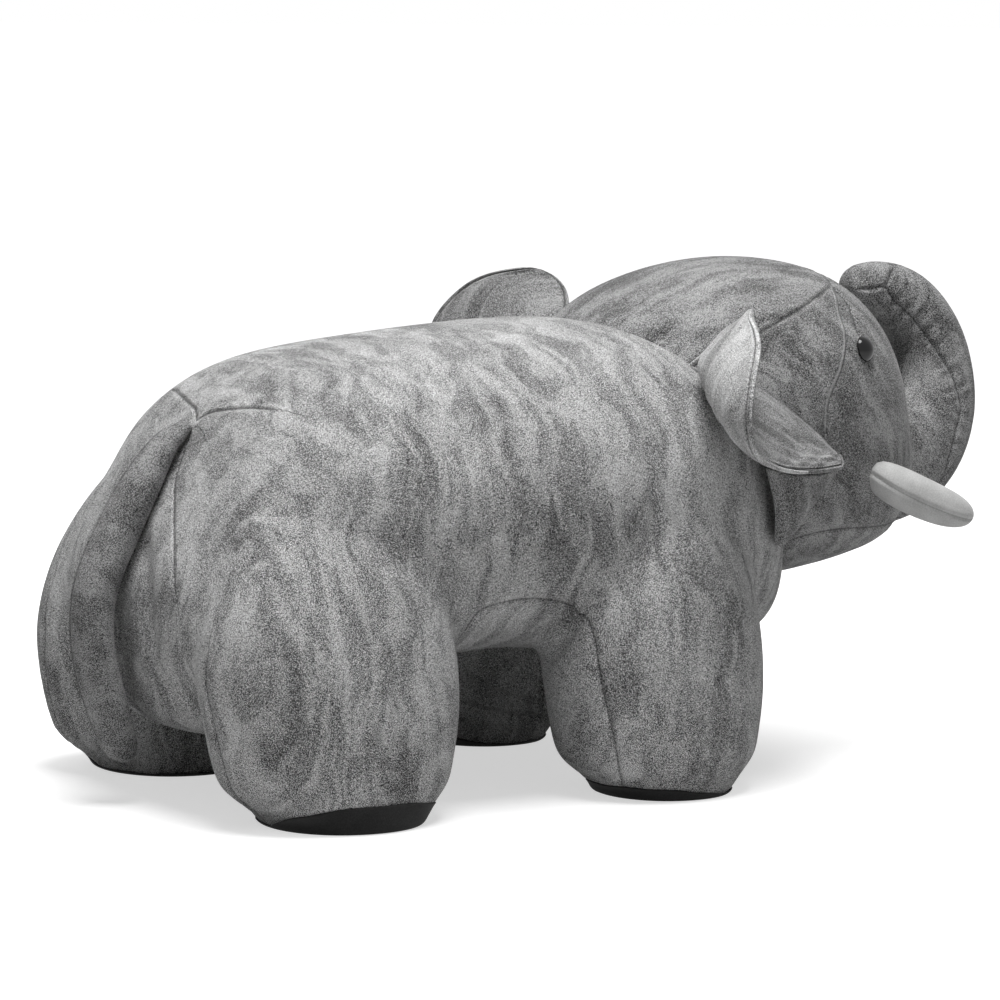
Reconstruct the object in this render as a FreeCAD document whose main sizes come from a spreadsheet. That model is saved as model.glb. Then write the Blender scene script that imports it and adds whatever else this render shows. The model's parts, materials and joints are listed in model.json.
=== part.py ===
import FreeCAD, Part

import math
import os

import Sketcher

# Stuffed elephant stool: a stitched, upholstered animal big enough to sit on.
# A plywood seat board with a foam pad stands on four posts inside it. Each stuffed
# form is one solid, cloth and filling together, and the ears and the tail hang from
# their sewn roots.
# The elephant faces +X, its left side is +Y, and it stands on z = 0.
# The origin lies under the middle of its whole length and width.

Vector = FreeCAD.Vector

# Driving dimensions in millimetres
SIZES = {
    # Stance: the middle of the four feet lies a little behind the middle of the length
    "feet_behind": 126.6,
    "leg_spacing": 320.0,
    "leg_track": 296.0,
    # Torso, from the middle of the feet
    "torso_front": 330.0,
    "torso_rear": 286.0,
    "torso_width": 384.0,
    "back_height": 391.0,
    # Head, from the middle of the feet
    "head_rear": 130.0,
    "head_front": 492.0,
    "head_width": 286.0,
    "head_top": 441.0,
    # Trunk, a curl about a centre in front of the face
    "curl_setback": 16.0,
    "curl_radius": 88.0,
    "trunk_depth": 124.0,
    "trunk_width": 122.0,
    # Legs and feet
    "hind_foot_radius": 68.0,
    "fore_foot_radius": 59.0,
    "hind_leg_length": 224.0,
    "hind_leg_width": 152.0,
    "fore_leg_length": 190.0,
    "fore_leg_width": 150.0,
    "sole_rim": 17.0,
    "sole_thickness": 3.0,
    # Clearance between stuffed forms that are sewn to each other
    "seam_gap": 0.3,
    # Inner frame
    "board_thickness": 15.0,
    "board_margin": 6.0,
    "board_corner": 18.0,
    "pad_height": 70.0,
    "pad_margin": 48.0,
    "top_filling": 59.0,
    "post_side": 40.0,
    "post_inset": 8.0,
    "rail_depth": 60.0,
    "rail_thickness": 22.0,
    "foot_board_thickness": 12.0,
    "foot_board_margin": 8.0,
    # Ears
    "ear_thickness": 13.0,
    "ear_span": 166.0,
    "ear_drop": 144.0,
    "ear_length": 138.0,
    "ear_gap": 0.6,
    "fold_thickness": 8.0,
    # Tusks
    "tusk_length": 122.0,
    "tusk_radius": 16.5,
    "tusk_depth": 12.0,
    # Eyes
    "eye_radius": 11.5,
    "eye_height": 7.0,
    "eye_stem_radius": 2.5,
    "eye_stem_length": 16.0,
    # Tail
    "tail_tip_height": 34.0,
    "tail_bow": 84.0,
    "tail_width": 40.0,
    "tail_depth": 34.0,
    "tail_gap": 0.5,
}


def make_sheet(document):
    """Write the driving dimensions into the spreadsheet, one alias per row."""
    sheet = document.addObject("Spreadsheet::Sheet", "sizes")
    for row, (alias, value) in enumerate(SIZES.items(), start=1):
        sheet.set("A%d" % row, alias)
        sheet.set("B%d" % row, str(value))
        sheet.setAlias("B%d" % row, alias)
    document.recompute()
    return sheet


document = FreeCAD.newDocument("elephant_stool")
sheet = make_sheet(document)


def mm(alias):
    """Read one driving dimension back from the spreadsheet."""
    return float(sheet.get(alias))


# Distances ahead of the middle of the feet become X in the model's frame
FEET_X = -mm("feet_behind")


def ahead(distance):
    return FEET_X + distance


SIDES = {"right": -1, "left": 1}
ENDS = {"hind": -1, "fore": 1}
X_AXIS = Vector(1, 0, 0)
Y_AXIS = Vector(0, 1, 0)
Z_AXIS = Vector(0, 0, 1)

# How full a section is at its corners: 2 is an ellipse, and less is squarer
FULL = 1.68
ROUND = 2.0
# Flat strips round a section, for the wide forms and the slim ones
WIDE_STRIPS = 28
SLIM_STRIPS = 16


def section(centre, across, half_across, up, half_up, half_down, fullness, strips):
    """A closed outline of straight edges that each touch a rounded oval from outside.

    Edge number k always faces the same way, so the strip between two parallel sections
    is flat. Its distance from the centre is (|a cos|^f + |b sin|^f)^(1/f), where a and b
    are the half sizes and f is the fullness.
    """
    step = 2 * math.pi / strips
    reaches = []
    for index in range(strips):
        half_height = half_up if index * 2 < strips else half_down
        wide = abs(half_across * math.cos(index * step)) ** fullness
        high = abs(half_height * math.sin(index * step)) ** fullness
        reaches.append((wide + high) ** (1 / fullness))
    corners = []
    for index in range(strips):
        this, after = reaches[index], reaches[(index + 1) % strips]
        here, there = index * step, (index + 1) * step
        right = (this * math.sin(there) - after * math.sin(here)) / math.sin(step)
        high = (after * math.cos(here) - this * math.cos(there)) / math.sin(step)
        corners.append(centre + across * right + up * high)
    return corners


# A strip between two outlines counts as flat where its fourth corner is this near the
# plane of the other three, as a share of its edge
FLAT_SHARE = 1e-7


def flat_face(corners):
    return Part.Face(Part.makePolygon(corners + corners[:1]))


def skin(outlines):
    """A closed form of flat faces from each outline to the next, with flat ends."""
    faces = [flat_face(outlines[0]), flat_face(outlines[-1])]
    for this, after in zip(outlines, outlines[1:]):
        for index in range(len(this)):
            a, b, c, d = this[index - 1], this[index], after[index], after[index - 1]
            lift = abs((b - a).cross(c - a).normalize().dot(d - a))
            if lift < FLAT_SHARE * (b - a).Length:
                faces.append(flat_face([a, b, c, d]))
            else:
                faces += [flat_face([a, b, c]), flat_face([a, c, d])]
    solid = Part.Solid(Part.Shell(faces))
    if solid.Volume < 0:
        solid.reverse()
    return solid


def filled(stations, steps=2):
    """The stations with more between them, on a smooth curve through the given ones."""
    rows = []
    last = len(stations) - 1
    for index in range(last):
        columns = list(zip(
            stations[max(index - 1, 0)], stations[index],
            stations[index + 1], stations[min(index + 2, last)],
        ))
        for step in range(steps):
            t = step / steps
            rows.append([
                here + t * ((there - before) / 2 + t * (
                    before - 2.5 * here + 2 * there - after / 2
                    + t * (1.5 * (here - there) + (after - before) / 2)
                ))
                for before, here, there, after in columns
            ])
    rows.append(list(stations[last]))
    return rows


def surface_point(base, way, forms):
    """Where a straight line from inside leaves the fullest of the given forms."""
    ray = Part.makeLine(base, base + way * (2 * mm("torso_width")))
    crossings = [vertex.Point for form in forms for vertex in ray.common(form).Vertexes]
    return max(crossings, key=lambda point: (point - base).dot(way))


def add_shape(label, shape):
    """Put a finished shape into the document as a sub-part of its own."""
    feature = document.addObject("Part::Feature", label)
    feature.Label = label
    feature.Shape = shape
    feature.Placement = FreeCAD.Placement()
    return feature


def bind(feature, **formulas):
    for name, formula in formulas.items():
        feature.setExpression(name, formula)


def largest_solid(shape):
    """The main body left by a cut, without slivers that a seam may leave."""
    return max(shape.Solids, key=lambda solid: solid.Volume)


# Torso

# Stations from rump to chest: place along the torso, half width, top and bottom
# as shares of the torso's length, half width and back height
TORSO_SHARES = [
    (0.000, 0.16, 0.422, 0.389),
    (0.005, 0.34, 0.471, 0.353),
    (0.018, 0.55, 0.527, 0.315),
    (0.050, 0.73, 0.629, 0.281),
    (0.094, 0.84, 0.767, 0.269),
    (0.147, 0.91, 0.875, 0.269),
    (0.252, 0.98, 0.945, 0.276),
    (0.461, 1.00, 0.980, 0.292),
    (0.639, 0.99, 1.000, 0.292),
    (0.752, 0.96, 0.987, 0.281),
    (0.842, 0.88, 0.936, 0.269),
    (0.918, 0.73, 0.834, 0.263),
    (0.969, 0.53, 0.706, 0.286),
    (0.994, 0.32, 0.601, 0.345),
    (1.000, 0.16, 0.550, 0.384),
]
# The widest level of a torso section, as a share of its height from the bottom
WIDEST_SHARE = 0.46


def torso(grow):
    """The torso's stuffed form, grown all round by a clearance."""
    rear = ahead(-mm("torso_rear")) - grow
    length = mm("torso_front") + mm("torso_rear") + 2 * grow
    outlines = []
    for place, width, top, bottom in filled(TORSO_SHARES):
        high = mm("back_height") * top + grow
        low = mm("back_height") * bottom - grow
        widest = low + (high - low) * WIDEST_SHARE
        centre = Vector(rear + length * place, 0, widest)
        half_width = mm("torso_width") / 2 * width + grow
        outlines.append(section(
            centre, Y_AXIS, half_width, Z_AXIS, high - widest, widest - low, FULL, WIDE_STRIPS
        ))
    return skin(outlines)


# Head

# Stations from nape to muzzle: place, half width, top and bottom as shares of the
# head's length, half width and top height
HEAD_SHARES = [
    (0.000, 0.60, 0.810, 0.490),
    (0.097, 0.76, 0.895, 0.430),
    (0.221, 0.90, 0.955, 0.388),
    (0.387, 0.99, 0.990, 0.362),
    (0.552, 1.00, 1.000, 0.358),
    (0.704, 0.92, 0.980, 0.372),
    (0.815, 0.79, 0.930, 0.388),
    (0.890, 0.63, 0.858, 0.402),
    (0.955, 0.43, 0.750, 0.424),
    (1.000, 0.24, 0.640, 0.460),
]


def head(grow):
    rear = ahead(mm("head_rear")) - grow
    length = mm("head_front") - mm("head_rear") + 2 * grow
    outlines = []
    for place, width, top, bottom in filled(HEAD_SHARES):
        high = mm("head_top") * top + grow
        low = mm("head_top") * bottom - grow
        middle = (high + low) / 2
        centre = Vector(rear + length * place, 0, middle)
        half_width = mm("head_width") / 2 * width + grow
        outlines.append(section(
            centre, Y_AXIS, half_width, Z_AXIS, high - middle, middle - low, FULL, WIDE_STRIPS
        ))
    return skin(outlines)


# Trunk

# Stations from the muzzle to the tip: the angle round the curl in degrees, then the
# path's radius, the half depth and the half width as shares of their named sizes
TRUNK_SHARES = [
    (-108, 0.76, 0.96, 0.98),
    (-80, 0.76, 0.97, 0.96),
    (-50, 0.72, 0.89, 0.88),
    (-20, 0.70, 0.76, 0.77),
    (10, 0.72, 0.65, 0.67),
    (40, 0.80, 0.57, 0.58),
    (70, 0.92, 0.49, 0.50),
    (92, 0.98, 0.42, 0.43),
    (104, 1.00, 0.35, 0.36),
    (110, 1.00, 0.22, 0.23),
]
# The height of the curl's centre, as a share of the head's top
CURL_HEIGHT_SHARE = 0.73


def trunk():
    """The trunk curls forwards, up and back until its tip meets the forehead."""
    middle = Vector(
        ahead(mm("head_front") - mm("curl_setback")), 0, mm("head_top") * CURL_HEIGHT_SHARE
    )
    outlines = []
    for angle, radius, depth, width in filled(TRUNK_SHARES):
        turn = math.radians(angle)
        outward = Vector(math.cos(turn), 0, math.sin(turn))
        centre = middle + outward * (mm("curl_radius") * radius)
        half_depth = mm("trunk_depth") / 2 * depth
        half_width = mm("trunk_width") / 2 * width
        outlines.append(section(
            centre, Y_AXIS, half_width, outward, half_depth, half_depth, FULL, SLIM_STRIPS
        ))
    return skin(outlines)


# Legs

# Stations above the sole: height, half length and half width as shares of the leg's,
# and how far the section leans back and in, as shares of its length and width
LEG_SHARES = [
    (0.06, 0.76, 0.93, 0.01, 0.00),
    (0.15, 0.90, 0.98, 0.03, 0.00),
    (0.28, 0.99, 1.00, 0.04, 0.00),
    (0.42, 1.02, 1.01, 0.05, 0.02),
    (0.56, 0.98, 0.97, 0.05, 0.05),
    (0.70, 0.88, 0.87, 0.04, 0.09),
    (0.86, 0.70, 0.68, 0.02, 0.17),
    (1.00, 0.44, 0.42, 0.00, 0.26),
]
# The height of a leg's top inside the torso, as a share of the back's height
LEG_TOP_SHARE = 0.742


def leg(end, side):
    """One leg from its flat sole to a rounded top that the torso cuts off."""
    foot_radius = mm(end + "_foot_radius")
    length = mm(end + "_leg_length")
    width = mm(end + "_leg_width")
    foot_x = ahead(ENDS[end] * mm("leg_spacing") / 2)
    foot_y = SIDES[side] * mm("leg_track") / 2
    foot = Vector(foot_x, foot_y, 0)
    outlines = [
        section(
            foot, X_AXIS, foot_radius, Y_AXIS, foot_radius, foot_radius, ROUND, WIDE_STRIPS
        )
    ]
    for height, long_share, wide_share, back_share, in_share in LEG_SHARES:
        x = foot_x - length * back_share
        y = foot_y - SIDES[side] * width * in_share
        centre = Vector(x, y, mm("back_height") * LEG_TOP_SHARE * height)
        half_length = length / 2 * long_share
        half_width = width / 2 * wide_share
        outlines.append(section(
            centre, X_AXIS, half_length, Y_AXIS, half_width, half_width, ROUND, WIDE_STRIPS
        ))
    return skin(outlines)


def slab(low, high):
    """A wide flat box between two heights, for taking level slices."""
    reach = mm("torso_front") + mm("torso_rear")
    corner = Vector(-reach, -reach, low)
    return Part.makeBox(2 * reach, 2 * reach, high - low, corner)


# Tail

# Stations from the root down: drop, distance behind the root, and half size as shares
# of the tail's drop, bow, and half width or half depth
TAIL_SHARES = [
    (0.00, 0.00, 0.30),
    (0.06, 0.25, 0.62),
    (0.16, 0.48, 0.87),
    (0.30, 0.74, 1.00),
    (0.48, 1.00, 1.00),
    (0.66, 1.00, 0.98),
    (0.82, 0.88, 0.92),
    (0.94, 0.72, 0.78),
    (1.00, 0.64, 0.40),
]
# The height of the tail's root, as a share of the back's height
TAIL_ROOT_SHARE = 0.795


def tail(torso_form):
    """The tail runs down from its sewn root close behind the rump in one long bow."""
    root_height = mm("back_height") * TAIL_ROOT_SHARE
    drop = root_height - mm("tail_tip_height")
    middle = Vector(ahead(0), 0, root_height)
    seat = surface_point(middle, -X_AXIS, [torso_form])
    below = surface_point(middle - Z_AXIS * (drop * TAIL_SHARES[1][0]), -X_AXIS, [torso_form])
    slope = (below - seat).normalize()
    clear = mm("tail_gap") + mm("tail_depth") / 2 * TAIL_SHARES[0][2]
    root = seat + Y_AXIS.cross(slope) * clear
    stations = filled(TAIL_SHARES)
    centres = []
    for down, behind, _ in stations:
        centres.append(root - Z_AXIS * (drop * down) - X_AXIS * (mm("tail_bow") * behind))
    outlines = []
    for index, station in enumerate(stations):
        before = centres[max(index - 1, 0)]
        after = centres[min(index + 1, len(centres) - 1)]
        along = (after - before).normalize() if index else slope
        half_width = mm("tail_width") / 2 * station[2]
        half_depth = mm("tail_depth") / 2 * station[2]
        outlines.append(
            section(
                centres[index], Y_AXIS, half_width, along.cross(Y_AXIS), half_depth, half_depth,
                ROUND, SLIM_STRIPS,
            )
        )
    return skin(outlines)


# Ears

# Stations from the upper edge to the cheek. Each has the sewn root, the middle of the
# cupped leaf and the free rim. Their places are shares of the ear's length ahead, its
# span outwards and its drop, counted from the top of the root. A root has only its place
# ahead and up, since it lies on the surface of the head or the shoulder there
EAR_SHARES = [
    ((0.02, -0.01), (0.22, 0.27, 0.28), (-0.02, 0.55, 0.37)),
    ((0.08, -0.03), (-0.11, 0.36, 0.06), (-0.20, 0.84, 0.20)),
    ((0.21, -0.08), (-0.14, 0.44, -0.10), (-0.33, 0.98, -0.03)),
    ((0.38, -0.165), (-0.12, 0.54, -0.24), (-0.35, 0.98, -0.25)),
    ((0.57, -0.29), (-0.04, 0.65, -0.42), (-0.25, 0.91, -0.45)),
    ((0.75, -0.42), (0.20, 0.62, -0.56), (0.03, 0.77, -0.57)),
    ((0.88, -0.52), (0.51, 0.51, -0.63), (0.40, 0.59, -0.65)),
    ((0.97, -0.59), (0.83, 0.36, -0.65), (0.75, 0.41, -0.66)),
]
# Thickness at the root, the middle and the rim, as shares of the ear's thickness
EAR_THICKNESS_SHARES = (0.22, 1.00, 0.60)
EAR_END_SHARE = 0.62


# The top of the sewn root, as shares of the head's length ahead of its rear and of its top
EAR_PLACE_SHARES = (0.202, 0.819)


def ear_base(side, forms):
    """The top of the root seam, on the outside of the head or the shoulder."""
    length = mm("head_front") - mm("head_rear")
    x = ahead(mm("head_rear") + length * EAR_PLACE_SHARES[0])
    inside = Vector(x, 0, mm("head_top") * EAR_PLACE_SHARES[1])
    return surface_point(inside, Y_AXIS * SIDES[side], forms)


def ear_point(side, base, shares):
    along, out, up = shares
    out_way = Y_AXIS * SIDES[side]
    return (
        base + X_AXIS * (mm("ear_length") * along) + out_way * (mm("ear_span") * out)
        + Z_AXIS * (mm("ear_drop") * up)
    )


def sewn_point(side, base, shares, clear, forms):
    """A point of a sewn edge, clear of the cloth that it is sewn to."""
    along, up = shares
    out_way = Y_AXIS * SIDES[side]
    inside = ear_point(side, base, (along, 0, up))
    inside.y = 0
    return surface_point(inside, out_way, forms) + out_way * clear


# Flat strips across each face of an ear or a fold
LEAF_STRIPS = 6


def leaf_section(points, halves, facing):
    """A thin curved strip: two bent faces a thickness apart, closed at each end."""
    root, middle, rim = points
    normal = (middle - root).cross(rim - root).cross(rim - root).normalize()
    if normal.dot(facing) < 0:
        normal = -normal
    front = [point + normal * half for point, half in zip(points, halves)]
    back = [point - normal * half for point, half in zip(points, halves)]
    corners = []
    for face in (front, back[::-1]):
        corners += Part.Arc(*face).discretize(LEAF_STRIPS + 1)
    return corners


def ear(side, base, forms):
    """A padded leaf, sewn to the cheek along its root and cupped towards the front."""
    clear = mm("ear_gap") + mm("ear_thickness") / 2 * EAR_THICKNESS_SHARES[0]
    outlines = []
    stations = filled([root + middle + rim for root, middle, rim in EAR_SHARES])
    last = len(stations) - 1
    for index, row in enumerate(stations):
        root, middle, rim = row[:2], row[2:5], row[5:]
        end_share = EAR_END_SHARE if index in (0, last) else 1.0
        halves = [mm("ear_thickness") / 2 * share * end_share for share in EAR_THICKNESS_SHARES]
        points = [
            sewn_point(side, base, root, clear, forms), ear_point(side, base, middle),
            ear_point(side, base, rim),
        ]
        outlines.append(leaf_section(points, halves, X_AXIS + Z_AXIS))
    return skin(outlines)


# Stations of the small fold under each ear, from the ear's lower corner down to the neck:
# the free edge, the middle and the sewn edge, which has only its place ahead and up
FOLD_SHARES = [
    ((0.22, 0.40, -0.64), (0.60, 0.36, -0.70), (0.97, -0.67)),
    ((0.36, 0.36, -0.80), (0.56, 0.35, -0.83), (0.82, -0.83)),
    ((0.47, 0.29, -0.97), (0.54, 0.30, -0.99), (0.66, -1.00)),
]
FOLD_THICKNESS_SHARES = (0.7, 1.0, 0.6)


def ear_fold(side, base, forms):
    """The under fold of an ear, from the leaf's lower corner down onto the neck."""
    halves = [mm("fold_thickness") / 2 * share for share in FOLD_THICKNESS_SHARES]
    clear = mm("seam_gap") + halves[2]
    outlines = []
    for row in filled([free + middle + sewn for free, middle, sewn in FOLD_SHARES]):
        free, middle, sewn = row[:3], row[3:6], row[6:]
        points = [
            ear_point(side, base, free), ear_point(side, base, middle),
            sewn_point(side, base, sewn, clear, forms),
        ]
        outlines.append(leaf_section(points, halves, Y_AXIS * SIDES[side]))
    return skin(outlines)


# Tusks

# Stations from inside the cheek to the tip: place along the tusk and radius
TUSK_SHARES = [
    (0.00, 0.70), (0.18, 0.86), (0.36, 0.97), (0.54, 1.00),
    (0.72, 0.94), (0.86, 0.78), (0.95, 0.52), (1.00, 0.24),
]
# The way a tusk points and the way it bows, as shares ahead, outwards and up
TUSK_AIM_SHARES = (0.880, 0.320, -0.350)
TUSK_BOW_SHARE = 0.03
# Where a tusk leaves the cheek, as shares of the head's length and top
TUSK_PLACE_SHARES = (0.712, 0.560)


def tusk(side, head_form):
    """A stuffed tusk, pointing forwards, outwards and down with a slight upward bow."""
    out = SIDES[side]
    aim = Vector(TUSK_AIM_SHARES[0], out * TUSK_AIM_SHARES[1], TUSK_AIM_SHARES[2]).normalize()
    length = mm("head_front") - mm("head_rear")
    x = ahead(mm("head_rear") + length * TUSK_PLACE_SHARES[0])
    inside = Vector(x, 0, mm("head_top") * TUSK_PLACE_SHARES[1])
    root = surface_point(inside, Y_AXIS * out, [head_form]) - aim * mm("tusk_depth")
    root = root - Y_AXIS * (out * mm("tusk_radius"))
    across = aim.cross(Z_AXIS).normalize()
    rise = across.cross(aim)
    outlines = []
    for place, share in TUSK_SHARES:
        bow = mm("tusk_length") * TUSK_BOW_SHARE * (2 * place - 1) ** 2
        centre = root + aim * (mm("tusk_length") * place) + rise * bow
        radius = mm("tusk_radius") * share
        outlines.append(section(
            centre, across, radius, rise, radius, radius, ROUND, SLIM_STRIPS
        ))
    return skin(outlines)


# Eyes

# The way an eye looks, as shares ahead, outwards and up
EYE_AIM_SHARES = (0.40, 0.87, 0.28)
# Where the eye's axis crosses the middle of the head, as shares of its length and top
EYE_PLACE_SHARES = (0.527, 0.744)
# Straight runs down the dome's profile
DOME_RUNS = 5


def eye_seat(side, head_form):
    """Where the eye's axis leaves the head, and the direction it looks in."""
    out = SIDES[side]
    aim = Vector(EYE_AIM_SHARES[0], out * EYE_AIM_SHARES[1], EYE_AIM_SHARES[2]).normalize()
    length = mm("head_front") - mm("head_rear")
    x = ahead(mm("head_rear") + length * EYE_PLACE_SHARES[0])
    inside = Vector(x, 0, mm("head_top") * EYE_PLACE_SHARES[1])
    return surface_point(inside, aim, [head_form]), aim


def make_eye(label, surface, aim):
    """A domed safety eye revolved about its stem, with the dome's rim on the cloth."""
    body = document.addObject("PartDesign::Body", label)
    body.Label = label
    sketch = body.newObject("Sketcher::SketchObject", label + "_profile")
    plane = origin_plane(body, "XZ_Plane")
    sketch.AttachmentSupport = (plane, [""])
    sketch.MapMode = "FlatFace"
    dome = mm("eye_height")
    radius = mm("eye_radius")
    stem = mm("eye_stem_radius")
    length = mm("eye_stem_length")
    crown = (radius ** 2 + dome ** 2) / (2 * dome)
    reach = math.asin(radius / crown)
    outline = []
    for run in range(DOME_RUNS + 1):
        turn = reach * run / DOME_RUNS
        outline.append(Vector(crown * math.sin(turn), dome - crown * (1 - math.cos(turn)), 0))
    outline += [Vector(stem, 0, 0), Vector(stem, -length, 0), Vector(0, -length, 0), outline[0]]
    for start, end in zip(outline, outline[1:]):
        sketch.addGeometry(Part.LineSegment(start, end), False)
    turned = body.newObject("PartDesign::Revolution", label + "_turned")
    turned.Profile = sketch
    turned.ReferenceAxis = (sketch, ["V_Axis"])
    turned.Angle = 360
    body.Placement = FreeCAD.Placement(surface, FreeCAD.Rotation(Z_AXIS, aim))
    return body


# Inner frame


def origin_plane(body, role):
    return next(item for item in body.Origin.OriginFeatures if item.Role == role)


FEET_FORMULA = "-sizes.feet_behind"
BOARD_TOP_FORMULA = "(sizes.back_height - sizes.top_filling - sizes.pad_height)"
BOARD_LENGTH_FORMULA = "(sizes.leg_spacing + sizes.post_side + 2 * sizes.board_margin)"
BOARD_WIDTH_FORMULA = (
    "(sizes.leg_track - 2 * sizes.post_inset + sizes.post_side + 2 * sizes.board_margin)"
)
POST_TOP_FORMULA = "(%s - sizes.board_thickness)" % BOARD_TOP_FORMULA


def make_box(label, length, width, height, x, y, z):
    """A box whose sizes and corner are all formulas on the spreadsheet."""
    box = document.addObject("Part::Box", label)
    box.Label = label
    bind(box, Length=length, Width=width, Height=height)
    box.setExpression("Placement.Base.x", x)
    box.setExpression("Placement.Base.y", y)
    box.setExpression("Placement.Base.z", z)
    return box


def make_board():
    """The seat board: a rectangle padded to the ply's thickness with round corners."""
    body = document.addObject("PartDesign::Body", "seat_board")
    sketch = body.newObject("Sketcher::SketchObject", "seat_board_outline")
    sketch.AttachmentSupport = (origin_plane(body, "XY_Plane"), [""])
    sketch.MapMode = "FlatFace"
    half_length = mm("leg_spacing") / 2
    half_width = mm("leg_track") / 2
    corners = [
        Vector(-half_length, -half_width, 0), Vector(half_length, -half_width, 0),
        Vector(half_length, half_width, 0), Vector(-half_length, half_width, 0),
    ]
    for index in range(4):
        sketch.addGeometry(Part.LineSegment(corners[index], corners[(index + 1) % 4]), False)
    for index in range(4):
        sketch.addConstraint(Sketcher.Constraint("Coincident", index, 2, (index + 1) % 4, 1))
    for kind, edges in (("Horizontal", (0, 2)), ("Vertical", (1, 3))):
        for edge in edges:
            sketch.addConstraint(Sketcher.Constraint(kind, edge))
    sketch.addConstraint(Sketcher.Constraint("Symmetric", 0, 1, 1, 2, -1, 1))
    long_side = sketch.addConstraint(
        Sketcher.Constraint("DistanceX", 0, 1, 0, 2, 2 * half_length)
    )
    sketch.setExpression("Constraints[%d]" % long_side, BOARD_LENGTH_FORMULA)
    short_side = sketch.addConstraint(
        Sketcher.Constraint("DistanceY", 1, 1, 1, 2, 2 * half_width)
    )
    sketch.setExpression("Constraints[%d]" % short_side, BOARD_WIDTH_FORMULA)
    pad = body.newObject("PartDesign::Pad", "seat_board_ply")
    pad.Profile = sketch
    pad.setExpression("Length", "sizes.board_thickness")
    document.recompute()
    upright = [
        "Edge%d" % (number + 1)
        for number, edge in enumerate(pad.Shape.Edges)
        if abs(edge.tangentAt(edge.FirstParameter).z) > 0.5
    ]
    rounding = body.newObject("PartDesign::Fillet", "seat_board_corners")
    rounding.Base = (pad, upright)
    rounding.setExpression("Radius", "sizes.board_corner")
    body.setExpression("Placement.Base.x", FEET_FORMULA)
    body.setExpression("Placement.Base.z", POST_TOP_FORMULA)
    return body


def make_pad():
    """The foam pad that lies on the seat board under the filling of the back."""
    length = "(%s - 2 * sizes.pad_margin)" % BOARD_LENGTH_FORMULA
    width = "(%s - 2 * sizes.pad_margin)" % BOARD_WIDTH_FORMULA
    return make_box(
        "seat_pad", length, width, "sizes.pad_height",
        "%s - %s / 2" % (FEET_FORMULA, length), "-%s / 2" % width, BOARD_TOP_FORMULA,
    )


def post_centre_formulas(end, side):
    """The middle of a post, in line with its foot and a little inside it."""
    x = "%s + (%d) * sizes.leg_spacing / 2" % (FEET_FORMULA, ENDS[end])
    y = "(%d) * (sizes.leg_track / 2 - sizes.post_inset)" % SIDES[side]
    return x, y


def make_post(end, side):
    x, y = post_centre_formulas(end, side)
    floor = "(sizes.sole_thickness + sizes.foot_board_thickness)"
    return make_box(
        "leg_post_%s_%s" % (end, side), "sizes.post_side", "sizes.post_side",
        "%s - %s" % (POST_TOP_FORMULA, floor),
        "%s - sizes.post_side / 2" % x, "%s - sizes.post_side / 2" % y, floor,
    )


def make_side_rail(side):
    _, y = post_centre_formulas("fore", side)
    span = "(sizes.leg_spacing - sizes.post_side)"
    return make_box(
        "side_rail_" + side, span, "sizes.rail_thickness", "sizes.rail_depth",
        "%s - %s / 2" % (FEET_FORMULA, span), "%s - sizes.rail_thickness / 2" % y,
        "%s - sizes.rail_depth" % POST_TOP_FORMULA,
    )


def make_end_rail(end):
    x, _ = post_centre_formulas(end, "left")
    span = "(sizes.leg_track - 2 * sizes.post_inset - sizes.post_side)"
    return make_box(
        "end_rail_" + end, "sizes.rail_thickness", span, "sizes.rail_depth",
        "%s - sizes.rail_thickness / 2" % x, "-%s / 2" % span,
        "%s - sizes.rail_depth" % POST_TOP_FORMULA,
    )


def make_foot_board(end, side):
    """The round ply disc that spreads a post's load over the sole."""
    label = "foot_board_%s_%s" % (end, side)
    disc = document.addObject("Part::Cylinder", label)
    disc.Label = label
    bind(
        disc, Radius="sizes.%s_foot_radius - sizes.foot_board_margin" % end,
        Height="sizes.foot_board_thickness",
    )
    x = "%s + (%d) * sizes.leg_spacing / 2" % (FEET_FORMULA, ENDS[end])
    disc.setExpression("Placement.Base.x", x)
    disc.setExpression("Placement.Base.y", "(%d) * sizes.leg_track / 2" % SIDES[side])
    disc.setExpression("Placement.Base.z", "sizes.sole_thickness")
    return disc


# Assembly of the document

# The wooden frame and its pad come first, since the stuffed forms are cut round them
board = make_board()
pad = make_pad()
posts = {(end, side): make_post(end, side) for end in ENDS for side in SIDES}
foot_boards = {(end, side): make_foot_board(end, side) for end in ENDS for side in SIDES}
rails = [make_side_rail(side) for side in SIDES] + [make_end_rail(end) for end in ENDS]
parts = [board, pad] + list(posts.values()) + list(foot_boards.values()) + rails
document.recompute()
post_shapes = [post.Shape for post in posts.values()]
rail_shapes = [rail.Shape for rail in rails]

# Torso, cut round the frame inside it
torso_form = torso(0)
torso_clear = torso(mm("seam_gap"))
body = torso_form.cut([board.Shape, pad.Shape] + post_shapes + rail_shapes)
parts.append(add_shape("body", largest_solid(body)))

# Legs, cut by the torso, each with a black sole that holds the foot board
for end in ENDS:
    for side in SIDES:
        name = "%s_%s" % (end, side)
        form = leg(end, side)
        post = posts[end, side].Shape
        stuffed = form.common(slab(mm("sole_rim"), mm("back_height"))).cut([torso_clear, post])
        parts.append(add_shape("leg_" + name, largest_solid(stuffed)))
        sole = form.common(slab(0, mm("sole_rim"))).cut([foot_boards[end, side].Shape, post])
        parts.append(add_shape("sole_" + name, largest_solid(sole)))

# Eyes, seated on the head's cloth with their stems in the filling
head_form = head(0)
head_clear = head(mm("seam_gap"))
eyes = []
for side in SIDES:
    seat, aim = eye_seat(side, head_form)
    eyes.append(make_eye("eye_" + side, seat, aim))
document.recompute()
parts += eyes

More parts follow.
